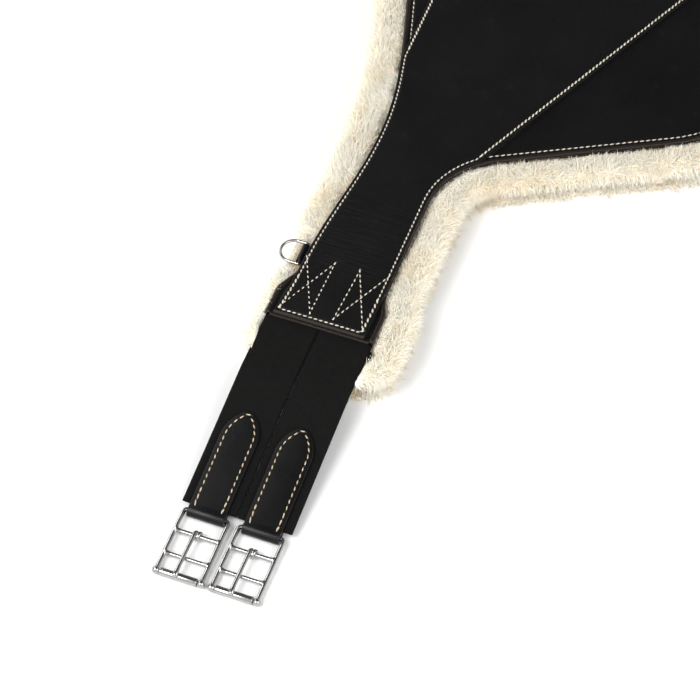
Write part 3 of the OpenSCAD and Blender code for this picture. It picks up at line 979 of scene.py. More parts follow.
def wool_cover(wool_end):
    """The strap's end, the webs' front and rear edges, and points along those edges over the wool."""
    ends = abs(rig.box("top_strap")[0].x)
    web_low, web_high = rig.box("near_rear_elastic")[0].y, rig.box("near_front_elastic")[1].y
    edges = np.array([(sx * x, y) for sx in ENDS.values() for y in (web_low, web_high)
                      for x in np.arange(ends, wool_end + 0.01, 2 * MM)])
    return ends, web_low, web_high, edges


def wool_body():
    """The plush mass of the liner, swollen along its rim and lumpy with tufts."""
    made = baked(in_cells("wool_pile", WOOL_CELL), "wool_mass")
    mesh = made.data
    wool_loop = even(cap_loop("wool_pile"), 2 * MM)
    leather_loop = leather_outline(2 * MM)
    rim_tree, rim_normals = near_tree(wool_loop), inward(wool_loop)
    low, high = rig.box("wool_pile")
    middle, half = (low.z + high.z) / 2, (high.z - low.z) / 2
    panel_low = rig.box("lining")[0].z
    ends, web_low, web_high, web_edges = wool_cover(high.x)
    web_tree, cover_tree = near_tree(web_edges), near_tree(np.vstack([leather_loop, web_edges]))
    studs = near_tree(stud_places())
    rings = near_tree([joint_at(f"{spot}_ring_hinge") + Vector((0, 0.006, 0)) for spot in RING_PLACES])
    co = np.array([vert.co for vert in mesh.vertices])
    covered = inside(co[:, :2], leather_loop)
    covered |= (abs(co[:, 0]) > ends - 0.01) & (co[:, 1] > web_low + 0.0005) & (co[:, 1] < web_high - 0.0005)
    pressed, combed, clear, warm_shade = [], [], [], []
    for k, vert in enumerate(mesh.vertices):
        x, y, z = co[k]
        _, nearest, rim = rim_tree.find((x, y, 0.0))
        line, _, edge = cover_tree.find((x, y, 0.0))
        away = (Vector((x, y, 0.0)) - line).normalized() * (-1.0 if covered[k] else 1.0)
        web, stud = distance_to(web_tree, x, y), distance_to(studs, x, y) - STUD_R
        if web < COMB_REACH and abs(x) > ends - COMB_END:
            away = Vector((0.0, math.copysign(1.0, y - 0.5 * (web_low + web_high)), 0.0))
        combed.extend(away * (0.25 + 0.95 * max(0.0, 1.0 - edge / COMB_REACH)))
        shown = share(edge, *EDGE_CLEAR) * share(web, *WEB_CLEAR) * share(stud, *STUD_CLEAR)
        clear.append(0.0 if covered[k] else shown)
        # Painted warm shade: noise patches that fade away from the leather's edge and from the rim
        patch = max(0.0, noise.noise(Vector((x * WARM_SHADE_SCALE, y * WARM_SHADE_SCALE, 7.0))) + 0.15)
        warm_shade.append(patch * (max(0.0, 1.0 - edge / WARM_SHADE_AT_EDGE) + 0.8 * max(0.0, 1.0 - rim / WARM_SHADE_AT_RIM)))
        bulge = min(1.0, abs(z - middle) / half)
        push = max(0.0, 1.0 - rim / RIM_REACH) * (RIM_PUSH + RIM_BULGE * (1.0 - bulge ** 2))
        vert.co.x += rim_normals[nearest][0] * push
        vert.co.y += rim_normals[nearest][1] * push
        flat = share(distance_to(rings, x, y), *RING_PRESS)
        pressed.append((0.32 + 0.68 * flat) * (0.55 + 0.45 * min(1.0, edge / 0.009)))
        flat *= share(stud, *STUD_PRESS)
        if z > middle and not covered[k]:
            if edge < HOLD:
                vert.co.xy = line.xy + away.xy * 0.0003
            out = edge / (rim + edge + 1e-6)
            vert.co.z += (WOOL_BESIDE + WOOL_ROLL * math.sin(math.pi * out)) * (1.0 - out ** 7) * flat
        elif z > middle:
            vert.co.z = min(vert.co.z, panel_low - 0.0004)
    for vert in mesh.vertices:
        p = vert.co
        lump = noise.noise(p * 75.0) * 0.0012 + noise.noise(p * 190.0) * 0.0007
        if p.z > low.z + 0.002 and not middle < p.z < panel_low:
            p.z += lump
        p.z = max(p.z, low.z)
    fuzz = [clear[k] if co[k][2] > middle else 1.0 if vert.normal.z > -0.35 else UNDER_FUZZ
            for k, vert in enumerate(mesh.vertices)]
    for name, kind, values in (("fuzz", "FLOAT", fuzz), ("pressed", "FLOAT", pressed), ("warm_shade", "FLOAT", warm_shade),
                               ("combed", "FLOAT_VECTOR", combed)):
        stored = mesh.attributes.new(name, kind, "POINT").data
        stored.foreach_set("value" if kind == "FLOAT" else "vector", values)
    subdivision = made.modifiers.new("Soften", "SUBSURF")
    subdivision.levels = subdivision.render_levels = 1
    made = baked(made, "sheepskin_wool")
    refinish(made, "wool")
    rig.padded(made, fill=0.7)
    return settle(made, "girth", "wool", "wool_pile")


def lock_tree():
    """Covers a surface with bent, tapering wool locks that lean together in patches."""
    tree, given, end = group_tree("Wool Locks", "GeometryNodeTree", [
        ("Geometry", "Geometry", None), ("Density", "Float", 1000.0), ("Seed", "Int", 0),
        ("Length", "Float", 0.007), ("Width", "Float", 0.0006), ("Lean", "Float", 1.0), ("Wool", "Material", None),
    ], [("Geometry", "Geometry")])

    def stored(name, kind="FLOAT"):
        return result(tree, "GeometryNodeInputNamedAttribute", {"Name": name}, data_type=kind)

    def chance(low, high, seed):
        return result(tree, "FunctionNodeRandomValue", {2: low, 3: high, "Seed": seed}, 1, data_type="FLOAT")

    def store(shape, name, value, domain):
        return result(tree, "GeometryNodeStoreNamedAttribute", {"Geometry": shape, "Name": name, "Value": value},
                      data_type="FLOAT", domain=domain)

    where = tree.nodes.new("GeometryNodeInputPosition").outputs[0]
    parts = put(tree, "ShaderNodeSeparateXYZ", {0: where}).outputs
    spots = put(tree, "GeometryNodeDistributePointsOnFaces", {
        "Mesh": given["Geometry"], "Seed": given["Seed"],
        "Density": maths(tree, "MULTIPLY", given["Density"], stored("fuzz"))}, distribute_method="RANDOM").outputs
    drift = result(tree, "ShaderNodeTexNoise", {"Vector": where, "Scale": 55.0, "Detail": 2.0}, 1)
    way = vector_maths(tree, "SCALE", vector_maths(tree, "SUBTRACT", drift, (0.5, 0.5, 0.5)), given["Lean"])
    stray = result(tree, "FunctionNodeRandomValue", {0: (-0.55, -0.55, -0.55), 1: (0.55, 0.55, 0.55), "Seed": 11},
                   data_type="FLOAT_VECTOR")
    way = vector_maths(tree, "ADD", spots["Normal"], way)
    for turn in (stray, stored("combed", "FLOAT_VECTOR")):
        way = vector_maths(tree, "ADD", way, turn)
    facing = result(tree, "FunctionNodeAlignRotationToVector", {"Vector": way}, axis="Z")
    facing = result(tree, "FunctionNodeRotateRotation", {
        "Rotation": facing, "Rotate By": xyz(tree, z=chance(0.0, 2 * math.pi, 5))}, rotation_space="LOCAL")
    cone = result(tree, "GeometryNodeMeshCone", {
        "Vertices": 3, "Side Segments": 2, "Radius Top": 0.0, "Radius Bottom": 1.0, "Depth": 1.0},
        fill_type="NONE")
    bend = maths(tree, "MULTIPLY", maths(tree, "POWER", parts[2], 2.0), 3.4)
    bent = result(tree, "GeometryNodeSetPosition", {
        "Geometry": store(cone, "tip", parts[2], "POINT"), "Offset": xyz(tree, bend)})
    tall = maths(tree, "MULTIPLY", chance(0.55, 1.2, 8), given["Length"])
    tall = maths(tree, "MULTIPLY", tall, stored("pressed"))
    locks = result(tree, "GeometryNodeInstanceOnPoints", {
        "Points": spots["Points"], "Instance": bent, "Rotation": facing,
        "Scale": xyz(tree, given["Width"], given["Width"], tall)})
    locks = store(locks, "tone", chance(0.0, 1.0, 21), "INSTANCE")
    real = result(tree, "GeometryNodeRealizeInstances", {"Geometry": locks})
    above_floor = xyz(tree, parts[0], parts[1], maths(tree, "MAXIMUM", parts[2], 0.0002))
    real = result(tree, "GeometryNodeSetPosition", {"Geometry": real, "Position": above_floor})
    dressed = result(tree, "GeometryNodeSetMaterial", {"Geometry": real, "Material": given["Wool"]})
    return finish_group(tree, end, Geometry=dressed)


def wool_locks(scene, base):
    """The locks that make the wool's surface and its soft outline."""
    tree = lock_tree()
    wool = scene.girth_wool
    for piece in range(1, WOOL_PIECES + 1):
        made = grown(link("wool_carrier", base.data.copy()), tree, f"wool_locks_{piece}", Density=wool.density,
                     Seed=piece, Length=wool.length, Width=wool.width, Lean=2.4, Wool=FINISH["locks"])
        settle(made, "girth", "wool")


# ---------------------------------------------------------------- leather body

SEAM_IN = 2.6 * MM
PLATE_SEAM_IN = 5.4 * MM
PANEL_IN = 2.2 * MM
GROOVE = 0.30 * MM
THREAD_RISE = 0.28 * MM
PAD_HALF, PAD_FADE, PAD_RISE = 0.23, 0.03, 0.8 * MM
EDGE_R, EDGE_IN = 1.75 * MM, 1.6 * MM


def strap_edge(thickness, bottom, seam, round_off=0.8 * MM):
    """The section of a strap's edge, with the groove that its seam lies in."""
    top = bottom + thickness
    return [(0.0, bottom), (0.0, bottom + 0.9 * MM), (0.0, top - round_off),
            (0.25 * round_off, top - 0.4 * round_off), (0.7 * round_off, top - 0.06 * round_off),
            (1.1 * MM, top), (seam - 0.8 * MM, top), (seam - 0.4 * MM, top - GROOVE),
            (seam + 0.4 * MM, top - GROOVE), (seam + 0.8 * MM, top), (seam + 2.2 * MM, top)]


def top_strap():
    """The upper leather, which widens from the elastics into a V over the plate."""
    low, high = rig.box("top_strap")

    def relief(x, y):
        return 0.00035 * noise.noise(Vector((x * 14.0, y * 14.0, 1.0)))

    def raw(band, x):
        return band == 0 or (band < 3 and abs(x) > high.x - 1.0 * MM)

    made = flat_piece("top_strap_leather", even(cap_loop("top_strap"), 2 * MM),
                      strap_edge(high.z - low.z, low.z, SEAM_IN), 2.4 * MM, "strap_leather", relief, raw)
    return settle(made, "girth", "black_leather", "top_strap")


def body_panel():
    """The body panel, padded in the plate. Its ends are cut flush under the strap's."""
    low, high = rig.box("body_panel")
    loop = leather_outline(2 * MM)
    at_end = abs(loop[:, 0]) > high.x - 0.1 * MM
    loop = inset(loop, PANEL_IN)
    loop[at_end, 0] = np.sign(loop[at_end, 0]) * high.x
    rim = near_tree(loop)

    def relief(x, y):
        pad = share(distance_to(rim, x, y), 0.005, PAD_FADE) if abs(x) < PAD_HALF else 0.0
        return PAD_RISE * pad * pad * (3 - 2 * pad) * share(PAD_HALF - abs(x), 0.0, PAD_FADE)

    section = strap_edge(high.z - low.z, low.z, PLATE_SEAM_IN - PANEL_IN, 0.15 * MM)
    made = flat_piece("body_panel_leather", loop, section, 6.0 * MM, "black_leather", relief,
                      lambda band, x: band < 2)
    return settle(made, "girth", "black_leather", "body_panel")


def rolled_edge():
    """The rolled edge along both sides of the body panel. It lies lower where the top strap covers it."""
    low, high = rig.box("edge_binding")
    free_top, covered_top = high.z + 0.1 * MM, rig.box("top_strap")[0].z - 0.05 * MM
    strap = inset(even(cap_loop("top_strap"), 1.5 * MM), -1.0 * MM)
    turns = 14
    verts, faces = [], []
    for side, path in leather_sides(1.5 * MM).items():
        inner = into_leather(side, path)
        under = inside(path + 1.2 * MM * inner, strap).astype(float)
        under = np.convolve(np.pad(under, 2, mode="edge"), np.ones(5) / 5, mode="valid")
        faces.extend(tube(len(path), turns, len(verts)))
        for point, way, cover in zip(path, inner, under):
            half = (free_top + (covered_top - free_top) * cover - low.z) / 2 + 0.05 * MM
            for k in range(turns):
                cos, sin = on_circle(k, turns)
                at = point + way * (EDGE_R * cos + EDGE_IN)
                verts.append((at[0], at[1], low.z + half + half * math.copysign(abs(sin) ** 0.8, sin)))
    made = outward(make_object("rolled_edge", verts, faces, "edge_leather"))
    return settle(made, "girth", "edge_leather", "edge_binding")


# ---------------------------------------------------------------- seams of the body

# Corners of the box stitching, in mm from the strap's end and from its middle, and the lines between them
BOX_POINTS = {"front": {"corner": (5.0, 30.0), "peak": (51.0, 8.0), "foot": (6.0, 9.0), "side": (50.0, 28.0)},
              "rear": {"corner": (7.0, -28.0), "peak": (51.0, -10.0), "foot": (7.0, -7.5), "side": (53.0, -30.0)}}
BOX_LINES = (("corner", "peak"), ("foot", "peak"), ("foot", "side"))


def body_seams(scene):
    """The seams round the top strap and the plate, and the box stitching over the elastics."""
    pitch, width = scene.girth_thread.pitch, scene.girth_thread.width
    strap_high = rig.box("top_strap")[1]
    strap_loop = even(cap_loop("top_strap"), 1.5 * MM)
    outline = near_tree(leather_outline(1.5 * MM))
    strap_z, plate_z = (high.z - GROOVE + THREAD_RISE for high in (strap_high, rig.box("body_panel")[1]))

    def kept(line, keep, z):
        return [[(x, y, z) for x, y in run] for run in runs(line, keep)]

    ring = ring_in(strap_loop, SEAM_IN)
    ring = np.roll(ring, -int(np.argmin(abs(ring[:, 0]) - ring[:, 1])), axis=0)
    ring = np.vstack([ring, ring[:1]])
    over_plate = np.array([distance_to(outline, x, y) > 2 * SEAM_IN for x, y in ring])
    plate = []
    for side, path in leather_sides(1.5 * MM).items():
        row = path + PLATE_SEAM_IN * into_leather(side, path)
        keep = ~inside(row, inset(strap_loop, -0.3 * MM)) & (abs(row[:, 0]) < strap_high.x - 0.06)
        plate.extend(kept(row, keep, plate_z))
    middle = (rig.box("near_front_elastic")[0].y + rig.box("near_rear_elastic")[1].y) / 2
    boxes = [[(sign * (strap_high.x - u * MM), middle + v * MM, strap_z) for u, v in (points[a], points[b])]
             for sign in ENDS.values() for points in BOX_POINTS.values() for a, b in BOX_LINES]
    for name, lines, pitches, widths, settings in (
            ("strap_seam", kept(ring, ~over_plate, strap_z), 1.0, 1.0, {"slant": 0.16}),
            ("plate_join_seam", kept(ring, over_plate, strap_z), 1.0, 1.25, {"slant": 0.36, "cover": 0.95}),
            ("plate_seam", plate, 1.16, 0.9, {}),
            ("box_seams", boxes, 1.09, 0.9, {"cover": 0.66})):
        sew(name, lines, "girth", "thread", pitches * pitch, widths * width, **settings)


# ---------------------------------------------------------------- elastics and tabs

BEND_PAST_WOOL = 10.0 * MM
BEND_R = 100.0 * MM


def run_in(end):
    """The elastics' line at one end: the pocket's height, the bend's place, the loop bar and the slope."""
    loop = joint_at(f"{end}_front_buckle_hinge")
    level = (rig.box("lining")[1].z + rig.box("body_panel")[0].z) / 2
    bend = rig.box("wool_pile")[1].x + BEND_PAST_WOOL
    slope = math.atan((level - loop[2]) / (abs(loop[0]) - bend))
    return {"level": level, "bend": bend, "loop": abs(loop[0]), "loop_z": loop[2], "slope": slope}


def elastic_line(end, lap):
    """Points along an elastic from its pocket to the loop bar: place, height and slope at each step."""
    line = run_in(end)
    tangent = BEND_R * math.tan(line["slope"] / 2)
    strap_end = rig.box("top_strap")[1].x
    start, stop = strap_end - lap, line["loop"] - 5.0 * MM
    steps = int(round((stop - start) / (0.8 * MM)))
    points = []
    for k in range(steps + 1):
        x = start + (stop - start) * k / steps
        before, after = line["bend"] - tangent, line["bend"] + tangent * math.cos(line["slope"])
        if x <= before:
            z, angle = line["level"], 0.0
        elif x < after:
            angle = math.asin((x - before) / BEND_R)
            z = line["level"] - BEND_R * (1 - math.cos(angle))
        else:
            angle = line["slope"]
            z = line["loop_z"] + (line["loop"] - x) * math.tan(line["slope"])
        points.append((x, z, angle))
    return points


def web_section(columns=26, thick=1.05 * MM):
    """Half the section round a web, as (across, half thickness): firm selvages and thinner edges."""
    section = []
    for k in range(columns + 1):
        across = -1 + 2 * k / columns
        selvage = 0.10 * MM if abs(abs(across) - 0.94) < 0.045 else 0.0
        section.append((across, (thick + selvage) * (1.0 if abs(across) < 0.985 else 0.45)))
    return section


def elastic_web(end, side):
    """A woven elastic with raised ribs and firm selvages. It stretches between the girth and its tab."""
    name = f"{end}_{side}_elastic"
    sign = ENDS[end]
    low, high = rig.box(name)
    half, middle = (high.y - low.y) / 2, (high.y + low.y) / 2
    points = elastic_line(end, 24.0 * MM)
    section = web_section()
    ring = section + [(across, -t) for across, t in reversed(section)]
    verts, uvs = [], []
    for row, (x, z, angle) in enumerate(points):
        rib = 0.055 * MM * (1 if row % 2 else -1)
        for across, t in ring:
            lift = t + (rib if t > 0 else -rib) * (1.0 if abs(across) < 0.93 else 0.3)
            sag = 0.00025 * math.sin(2.3 * across + x * 30.0)
            verts.append((sign * (x + math.sin(angle) * lift), middle + across * half,
                          z + math.cos(angle) * lift + sag))
            uvs.append((across * half, row * 0.8 * MM))
    made = make_object(name + "_web", verts, tube(len(points), len(ring)), "elastic")
    layer = made.data.uv_layers.new(name="Web")
    for loop in made.data.loops:
        layer.data[loop.index].uv = uvs[loop.vertex_index]
    outward(made, weld=False)
    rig.replaces(made, name)
    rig.slot(made, "elastic")
    tab_tip = min(abs(corner.x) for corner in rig.box(f"{end}_{side}_tab"))
    start, stop = ((sign * x, middle, 0.02) for x in (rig.box("top_strap")[1].x + 2.0 * MM, tab_tip - 2.0 * MM))
    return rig.blend(made, "girth", f"{end}_{side}_strap", start=start, end=stop)


TAB_T, TAB_UNDER_T = 2.4 * MM, 1.6 * MM
TAB_TIP, TAB_UNDER = 22.0 * MM, 44.0 * MM
FOLD_MID, FOLD_T = 3.02 * MM, 2.66 * MM
WEB_HALF_T = 1.15 * MM
TAB_SEAM_IN = 3.1 * MM


def tab_frame(end, side):
    """A tab's own (along, across, up) as a place in the row frame, its half width and its length.

    Along runs from the loop bar to the tip.
    """
    line = run_in(end)
    low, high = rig.box(f"{end}_{side}_tab")
    cos, sin = math.cos(line["slope"]), math.sin(line["slope"])

    def at(along, across, up):
        x = line["loop"] - along * cos + up * sin
        z = line["loop_z"] + along * sin + up * cos
        return Vector((ENDS[end] * x, (low.y + high.y) / 2 + across, z))

    return at, (high.y - low.y) / 2, (high.x - low.x - FOLD_MID) / cos - 1.4 * MM


def arch(distance, half, tip):
    """Half width of a pointed arch at a distance from its point."""
    if distance >= tip:
        return half
    radius = (half * half + tip * tip) / (2 * half)
    inner = radius * radius - (tip - distance) ** 2
    return max(0.0, math.sqrt(max(0.0, inner)) - (radius - half))


def fold_path(angles, radius):
    """Points round a fold, each with the angle at which it lies."""
    return [(radius * math.cos(math.radians(angle)), radius * math.sin(math.radians(angle)), angle)
            for angle in angles]


def tab_leather(end, side):
    """A buckle tab: pointed above, folded round the loop bar, shorter below."""
    at, half, length = tab_frame(end, side)
    over, under = WEB_HALF_T + TAB_T / 2, -WEB_HALF_T - TAB_UNDER_T / 2
    path = [(length - (length - 5.0 * MM) * k / 56, over, 90.0, TAB_T) for k in range(57)]
    path.append((3.6 * MM, over - 0.05 * MM, 92.0, TAB_T))
    path += [(*point, FOLD_T) for point in fold_path((74.0 + 212.0 * k / 16 for k in range(17)), FOLD_MID)]
    path += [(4.0 * MM + (TAB_UNDER - 4.0 * MM) * k / 12, under, 270.0, TAB_UNDER_T) for k in range(13)]
    verts = []
    for along, up, angle, thick in path:
        width, lip = half, 1.0
        if angle == 90.0:
            width = arch(length - along + 0.35 * MM, half, TAB_TIP)
            lip = max(0.25, min(1.0, (length - along) / (1.2 * MM) + 0.35))
        section = rounded_bar(max(width, 0.8 * MM), thick * lip / 2, min(0.62 * MM, thick * lip / 2 * 0.9))
        cos, sin = math.cos(math.radians(angle)), math.sin(math.radians(angle))
        drop = thick * (1 - lip) / 2
        for across, rise in section:
            crown = 0.10 * MM * (1 - (across / half) ** 2) if rise > 0 else 0.0
            reach = rise + crown - drop
            verts.append(at(along + cos * reach, across, up + sin * reach))
    name = f"{end}_{side}_tab"
    faces = tube(len(path), len(verts) // len(path))
    made = outward(make_object(name + "_leather", verts, faces, "tab_leather"))
    return settle(made, f"{end}_{side}_strap", "tab_leather", name)


def tab_seams(end, side):
    """The tab's seam: up one side, round the point and down the other, doubled at both ends."""
    at, half, length = tab_frame(end, side)
    up, start = WEB_HALF_T + TAB_T + 0.12 * MM, 5.6 * MM
    row = half - TAB_SEAM_IN
    half_line = [(start, row)]
    for k in range(41):
        distance = TAB_TIP * 1.1 * (1 - k / 40) + TAB_SEAM_IN
        half_line.append((length - distance, arch(distance - TAB_SEAM_IN + 0.3 * MM, row, TAB_TIP - 2.5 * MM)))
    line = [at(along, width, up) for along, width in half_line]
    line += [at(along, -width, up) for along, width in reversed(half_line[:-1])]
    doubled = [[at(start - 1.6 * MM, s * (row - 0.4 * MM), up + 0.1 * MM),
                at(start + 8.4 * MM, s * (row + 0.1 * MM), up + 0.1 * MM)] for s in (1, -1)]
    return sew(f"{end}_{side}_tab_seams", [line] + doubled, f"{end}_{side}_strap", "tab_thread",
               4.8 * MM, 0.95 * MM, slant=0.16, height=0.75 * MM, cover=0.70)


# ---------------------------------------------------------------- metal

def cast(node, cell, smoothing):
    """A CAD piece in steel, with its joints rounded as a casting's are."""
    made = in_cells(node, cell)
    relax = made.modifiers.new("Relax", "SMOOTH")
    relax.factor = 0.5
    relax.iterations = smoothing
    made = baked(made, node + "_steel")
    refinish(made, "steel")
    return made


def buckle_frame(scene, end, side):
    node = f"{end}_{side}_frame"
    return settle(cast(node, scene.girth_metal.cell, 4), f"{end}_{side}_buckle", "steel", node)


EYE_R = 2.57 * MM
EYE_TURNS = 1.4
TONGUE_LIES = 4.25 * MM


# A tongue's wire: its radius, its thickness where it is wound, and its place beside the middle
WIRE_R, WOUND_R, WIRE_BESIDE = 1.45 * MM, 1.03 * MM, 1.6 * MM
# Its tip: how far from the end, and its width and thickness there against the wire's
TIP_SHAPE = ((0.0, 0.5, 0.25), (0.3 * MM, 1.0, 0.55), (1.2 * MM, 1.22, 0.72), (4.0 * MM, 1.15, 0.82),
             (8.0 * MM, 1.0, 1.0))


def tongue(end, side):
    """A tongue bent from one wire: wound round its bar, straight to the roller and flattened at the tip."""
    node = f"{end}_{side}_tongue"
    low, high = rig.box(node)
    pivot = joint_at(node + "_hinge")
    ahead = joint_at(f"{end}_{side}_roller_spin") - pivot
    ahead.y = 0.0
    to_roller = ahead.length
    ahead.normalize()
    across = Vector((0, 1, 0))
    up = (Vector((0, 0, 1)) - ahead * ahead.z).normalized()
    tip = (max(abs(low.x), abs(high.x)) - abs(pivot.x)) / abs(ahead.x)
    stations = []

    def along_roller(reach, wide, tall, drop=0.0):
        rise = EYE_R + (TONGUE_LIES - EYE_R) * min(1.0, reach / to_roller) - drop
        stations.append((pivot + ahead * reach + up * rise + across * WIRE_BESIDE, across, up, wide, tall))

    for back, wide, tall in TIP_SHAPE:
        along_roller(tip - back, WIRE_R * wide, WIRE_R * tall, WIRE_R * (1 - tall) * 0.8)
    for k in range(1, 13):
        reach = (tip - TIP_SHAPE[-1][0]) * (1 - k / 12)
        along_roller(reach, WIRE_R, WIRE_R + (WOUND_R - WIRE_R) * max(0.0, 1.0 - reach / (4.0 * MM)))
    steps = 34
    for k in range(1, steps + 1):
        turned = EYE_TURNS * k / steps
        angle = math.pi / 2 + 2 * math.pi * turned
        spoke = ahead * math.cos(angle) + up * math.sin(angle)
        shift = WIRE_BESIDE - 2.0 * WIRE_BESIDE * min(1.0, turned / EYE_TURNS * 1.15)
        ending = 0.45 if k == steps else 1.0
        stations.append((pivot + spoke * EYE_R + across * shift, across, spoke, WIRE_R * ending, WOUND_R * ending))
    return settle(wire(node + "_steel", stations, "steel"), node, "steel", node)


STUD_TURNS = 20
# A stud's radius and height against its whole size, from its foot to its crown
STUD_SHAPE = ((1.0, 0.0), (1.0, 0.25), (0.86, 0.62), (0.6, 0.88), (0.3, 0.98))


def stud_caps():
    """Domed studs that hold the liner's corners to the leather."""
    low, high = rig.box("liner_studs")
    verts, faces = [], []
    for x, y in stud_places():
        faces.extend(tube(len(STUD_SHAPE), STUD_TURNS, len(verts)))
        verts.extend((x + wide * STUD_R * cos, y + wide * STUD_R * sin, low.z + rise * (high.z - low.z))
                     for wide, rise in STUD_SHAPE
                     for cos, sin in (on_circle(k, STUD_TURNS) for k in range(STUD_TURNS)))
    return settle(outward(make_object("liner_stud_caps", verts, faces, "steel")), "girth", "steel", "liner_studs")


def roller(end, side):
    """A roller bent from sheet: a tube with soft rims and the line where its edges meet."""
    node = f"{end}_{side}_roller"
    low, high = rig.box(node)
    centre = joint_at(node + "_spin")
    outer, half = (high.z - low.z) / 2, (high.y - low.y) / 2
    inner = outer - 1.2 * MM
    rim = [(inner + 0.05 * MM, half - 0.1 * MM), (inner + 0.35 * MM, half), (outer - 0.45 * MM, half),
           (outer - 0.12 * MM, half - 0.16 * MM), (outer, half - 0.5 * MM)]
    section = rim + [(r, -y) for r, y in reversed(rim)]
    turns, size = 64, len(section)
    verts, faces = [], []
    for k in range(turns):
        cos, sin = on_circle(k, turns)
        for radius, y in section:
            r = radius - (0.12 * MM if k == 0 and radius > inner + 0.2 * MM else 0.0)
            verts.append((centre.x + r * cos, centre.y + y, centre.z + r * sin))
        faces.extend(around(size, k * size, ((k + 1) % turns) * size))
    made = outward(make_object(node + "_steel", verts, faces, "steel"))
    return settle(made, node, "steel", node)


def ring_keeper(place_name):
    """The leather that holds a ring: folded round its bar and tucked under the strap."""
    node = f"{place_name}_ring_keeper"
    low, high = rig.box(node)
    pivot = joint_at(f"{place_name}_ring_hinge")
    wall, tail_t, flat_at = 1.5 * MM, 0.96 * MM, 2.2 * MM
    mid = high.y - pivot.y - wall / 2
    tail = pivot.y - low.y
    path = [(-tail + (tail - flat_at) * k / 6, 0.52 * MM, 90.0) for k in range(7)]
    path += fold_path((115.0 - 230.0 * k / 18 for k in range(19)), mid)
    path += [(-flat_at - (tail - flat_at) * k / 6, -0.52 * MM, -90.0) for k in range(7)]
    verts = []
    for y, z, angle in path:
        flat = abs(angle) == 90.0 and y <= -2.1 * MM
        section = rounded_bar((high.x - low.x) / 2, (tail_t if flat else wall) / 2, 0.35 * MM)
        cos, sin = math.cos(math.radians(angle)), math.sin(math.radians(angle))
        verts.extend((pivot.x + across, pivot.y + y + cos * rise, pivot.z + z + sin * rise)
                     for across, rise in section)
    faces = tube(len(path), len(verts) // len(path))
    made = outward(make_object(node + "_leather", verts, faces, "tab_leather"))
    return settle(made, "girth", "black_leather", node)


def d_ring(place_name):
    """A D-ring drawn from wire."""
    node = f"{place_name}_ring"
    return settle(cast(node, 0.22 * MM, 5), node, "steel", node)


# ---------------------------------------------------------------- stage

FLOOR_HALF = 12.0
# The sky's darker part, as its height and its azimuth, and the cosines between which it fades
DIM_SKY, DIM_FADE = (0.94, 0.36), (0.30, 0.88)
SKY_LIGHT, SKY_DIM = 0.92, 0.10
LAMPS_AIM = Vector((-0.35, 0.03, 0.0))
# Each lamp's place, power and width
LAMPS = {"key": ((-1.5, 1.0, 2.1), 46.0, 1.3), "fill": ((-0.9, -1.6, 1.6), 22.0, 1.4),
         "back": ((0.5, 1.7, 1.3), 10.0, 0.9)}


def floor_and_light(scene):
    """A plain pale floor, soft light all round and a key light from the upper left."""
    FINISH["floor"], tree, bsdf = shader("Floor", Roughness=0.9)
    mottle = cloud(tree, place(tree), 3.0)
    tree.links.new(mixed(tree, mottle, (0.90, 0.90, 0.90), (0.93, 0.93, 0.93)), bsdf.inputs["Base Color"])
    corners = [(x * FLOOR_HALF, y * FLOOR_HALF, 0) for x, y in ((-1, -1), (1, -1), (1, 1), (-1, 1))]
    floor = make_object("floor", corners, [(0, 1, 2, 3)], "floor", smooth=False)
    floor.location.z = -0.0002
    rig.stage(floor)
    scene.world = scene.world or bpy.data.worlds.new("Studio")
    scene.world.use_nodes = True
    lit = scene.world.node_tree
    background = lit.nodes["Background"]
    background.inputs["Color"].default_value = (1.0, 1.0, 1.0, 1.0)
    rise, turn = DIM_SKY
    ahead = (math.cos(rise) * math.cos(turn), math.cos(rise) * math.sin(turn), math.sin(rise))
    facing = result(lit, "ShaderNodeVectorMath", {0: place(lit, "Generated"), 1: ahead}, "Value",
                    operation="DOT_PRODUCT")
    lit.links.new(spread(lit, facing, *DIM_FADE, SKY_LIGHT, SKY_DIM), background.inputs["Strength"])
    scene.view_settings.view_transform = "Standard"
    for name, (spot, energy, wide) in LAMPS.items():
        lamp = bpy.data.lights.new(name, "AREA")
        lamp.energy = energy
        lamp.size = wide
        holder = link(name, lamp)
        holder.location = spot
        holder.rotation_euler = (LAMPS_AIM - Vector(spot)).to_track_quat("-Z", "Y").to_euler()


def camera(scene):
    """A long lens, looking down along the girth from beyond its near end."""
    stage = scene.girth_stage
    flat = math.cos(stage.elevation)
    view = Vector((flat * math.cos(stage.azimuth), flat * math.sin(stage.azimuth), -math.sin(stage.elevation)))
    lens = bpy.data.cameras.new("camera")
    lens.lens = stage.lens
    lens.sensor_width = 36.0
    lens.clip_start = 0.01
    holder = link("camera", lens)
    holder.location = Vector(stage.target) - view * stage.distance
    holder.rotation_euler = view.to_track_quat("-Z", "Y").to_euler()
    scene.camera = holder


# ---------------------------------------------------------------- operators

class GirthOperator:
    bl_options = {"REGISTER", "UNDO"}

    def execute(self, context):
        self.build(context.scene)
        return {"FINISHED"}


class GIRTH_OT_finishes(GirthOperator, bpy.types.Operator):
    """Make the finishes and give the hidden layers theirs"""
    bl_idname = "girth.finishes"
    bl_label = "Finishes"

    def build(self, scene):
        FINISH.update(make_materials(scene))
        slots = {entry["node"]: entry["material_slot"] for entry in frame["record"]["subparts"]}
        for node, obj in frame["nodes"].items():
            obj.data.materials.clear()
            obj.data.materials.append(FINISH[slots[node]])


class GIRTH_OT_wool(GirthOperator, bpy.types.Operator):
    """Make the sheepskin liner's wool"""
    bl_idname = "girth.wool"
    bl_label = "Sheepskin wool"

    def build(self, scene):
        wool_locks(scene, wool_body())


class GIRTH_OT_leather(GirthOperator, bpy.types.Operator):
    """Make the top strap, the body panel and its rolled edge"""
    bl_idname = "girth.leather"
    bl_label = "Leather body"

    def build(self, scene):
        body_panel()
        rolled_edge()
        top_strap()


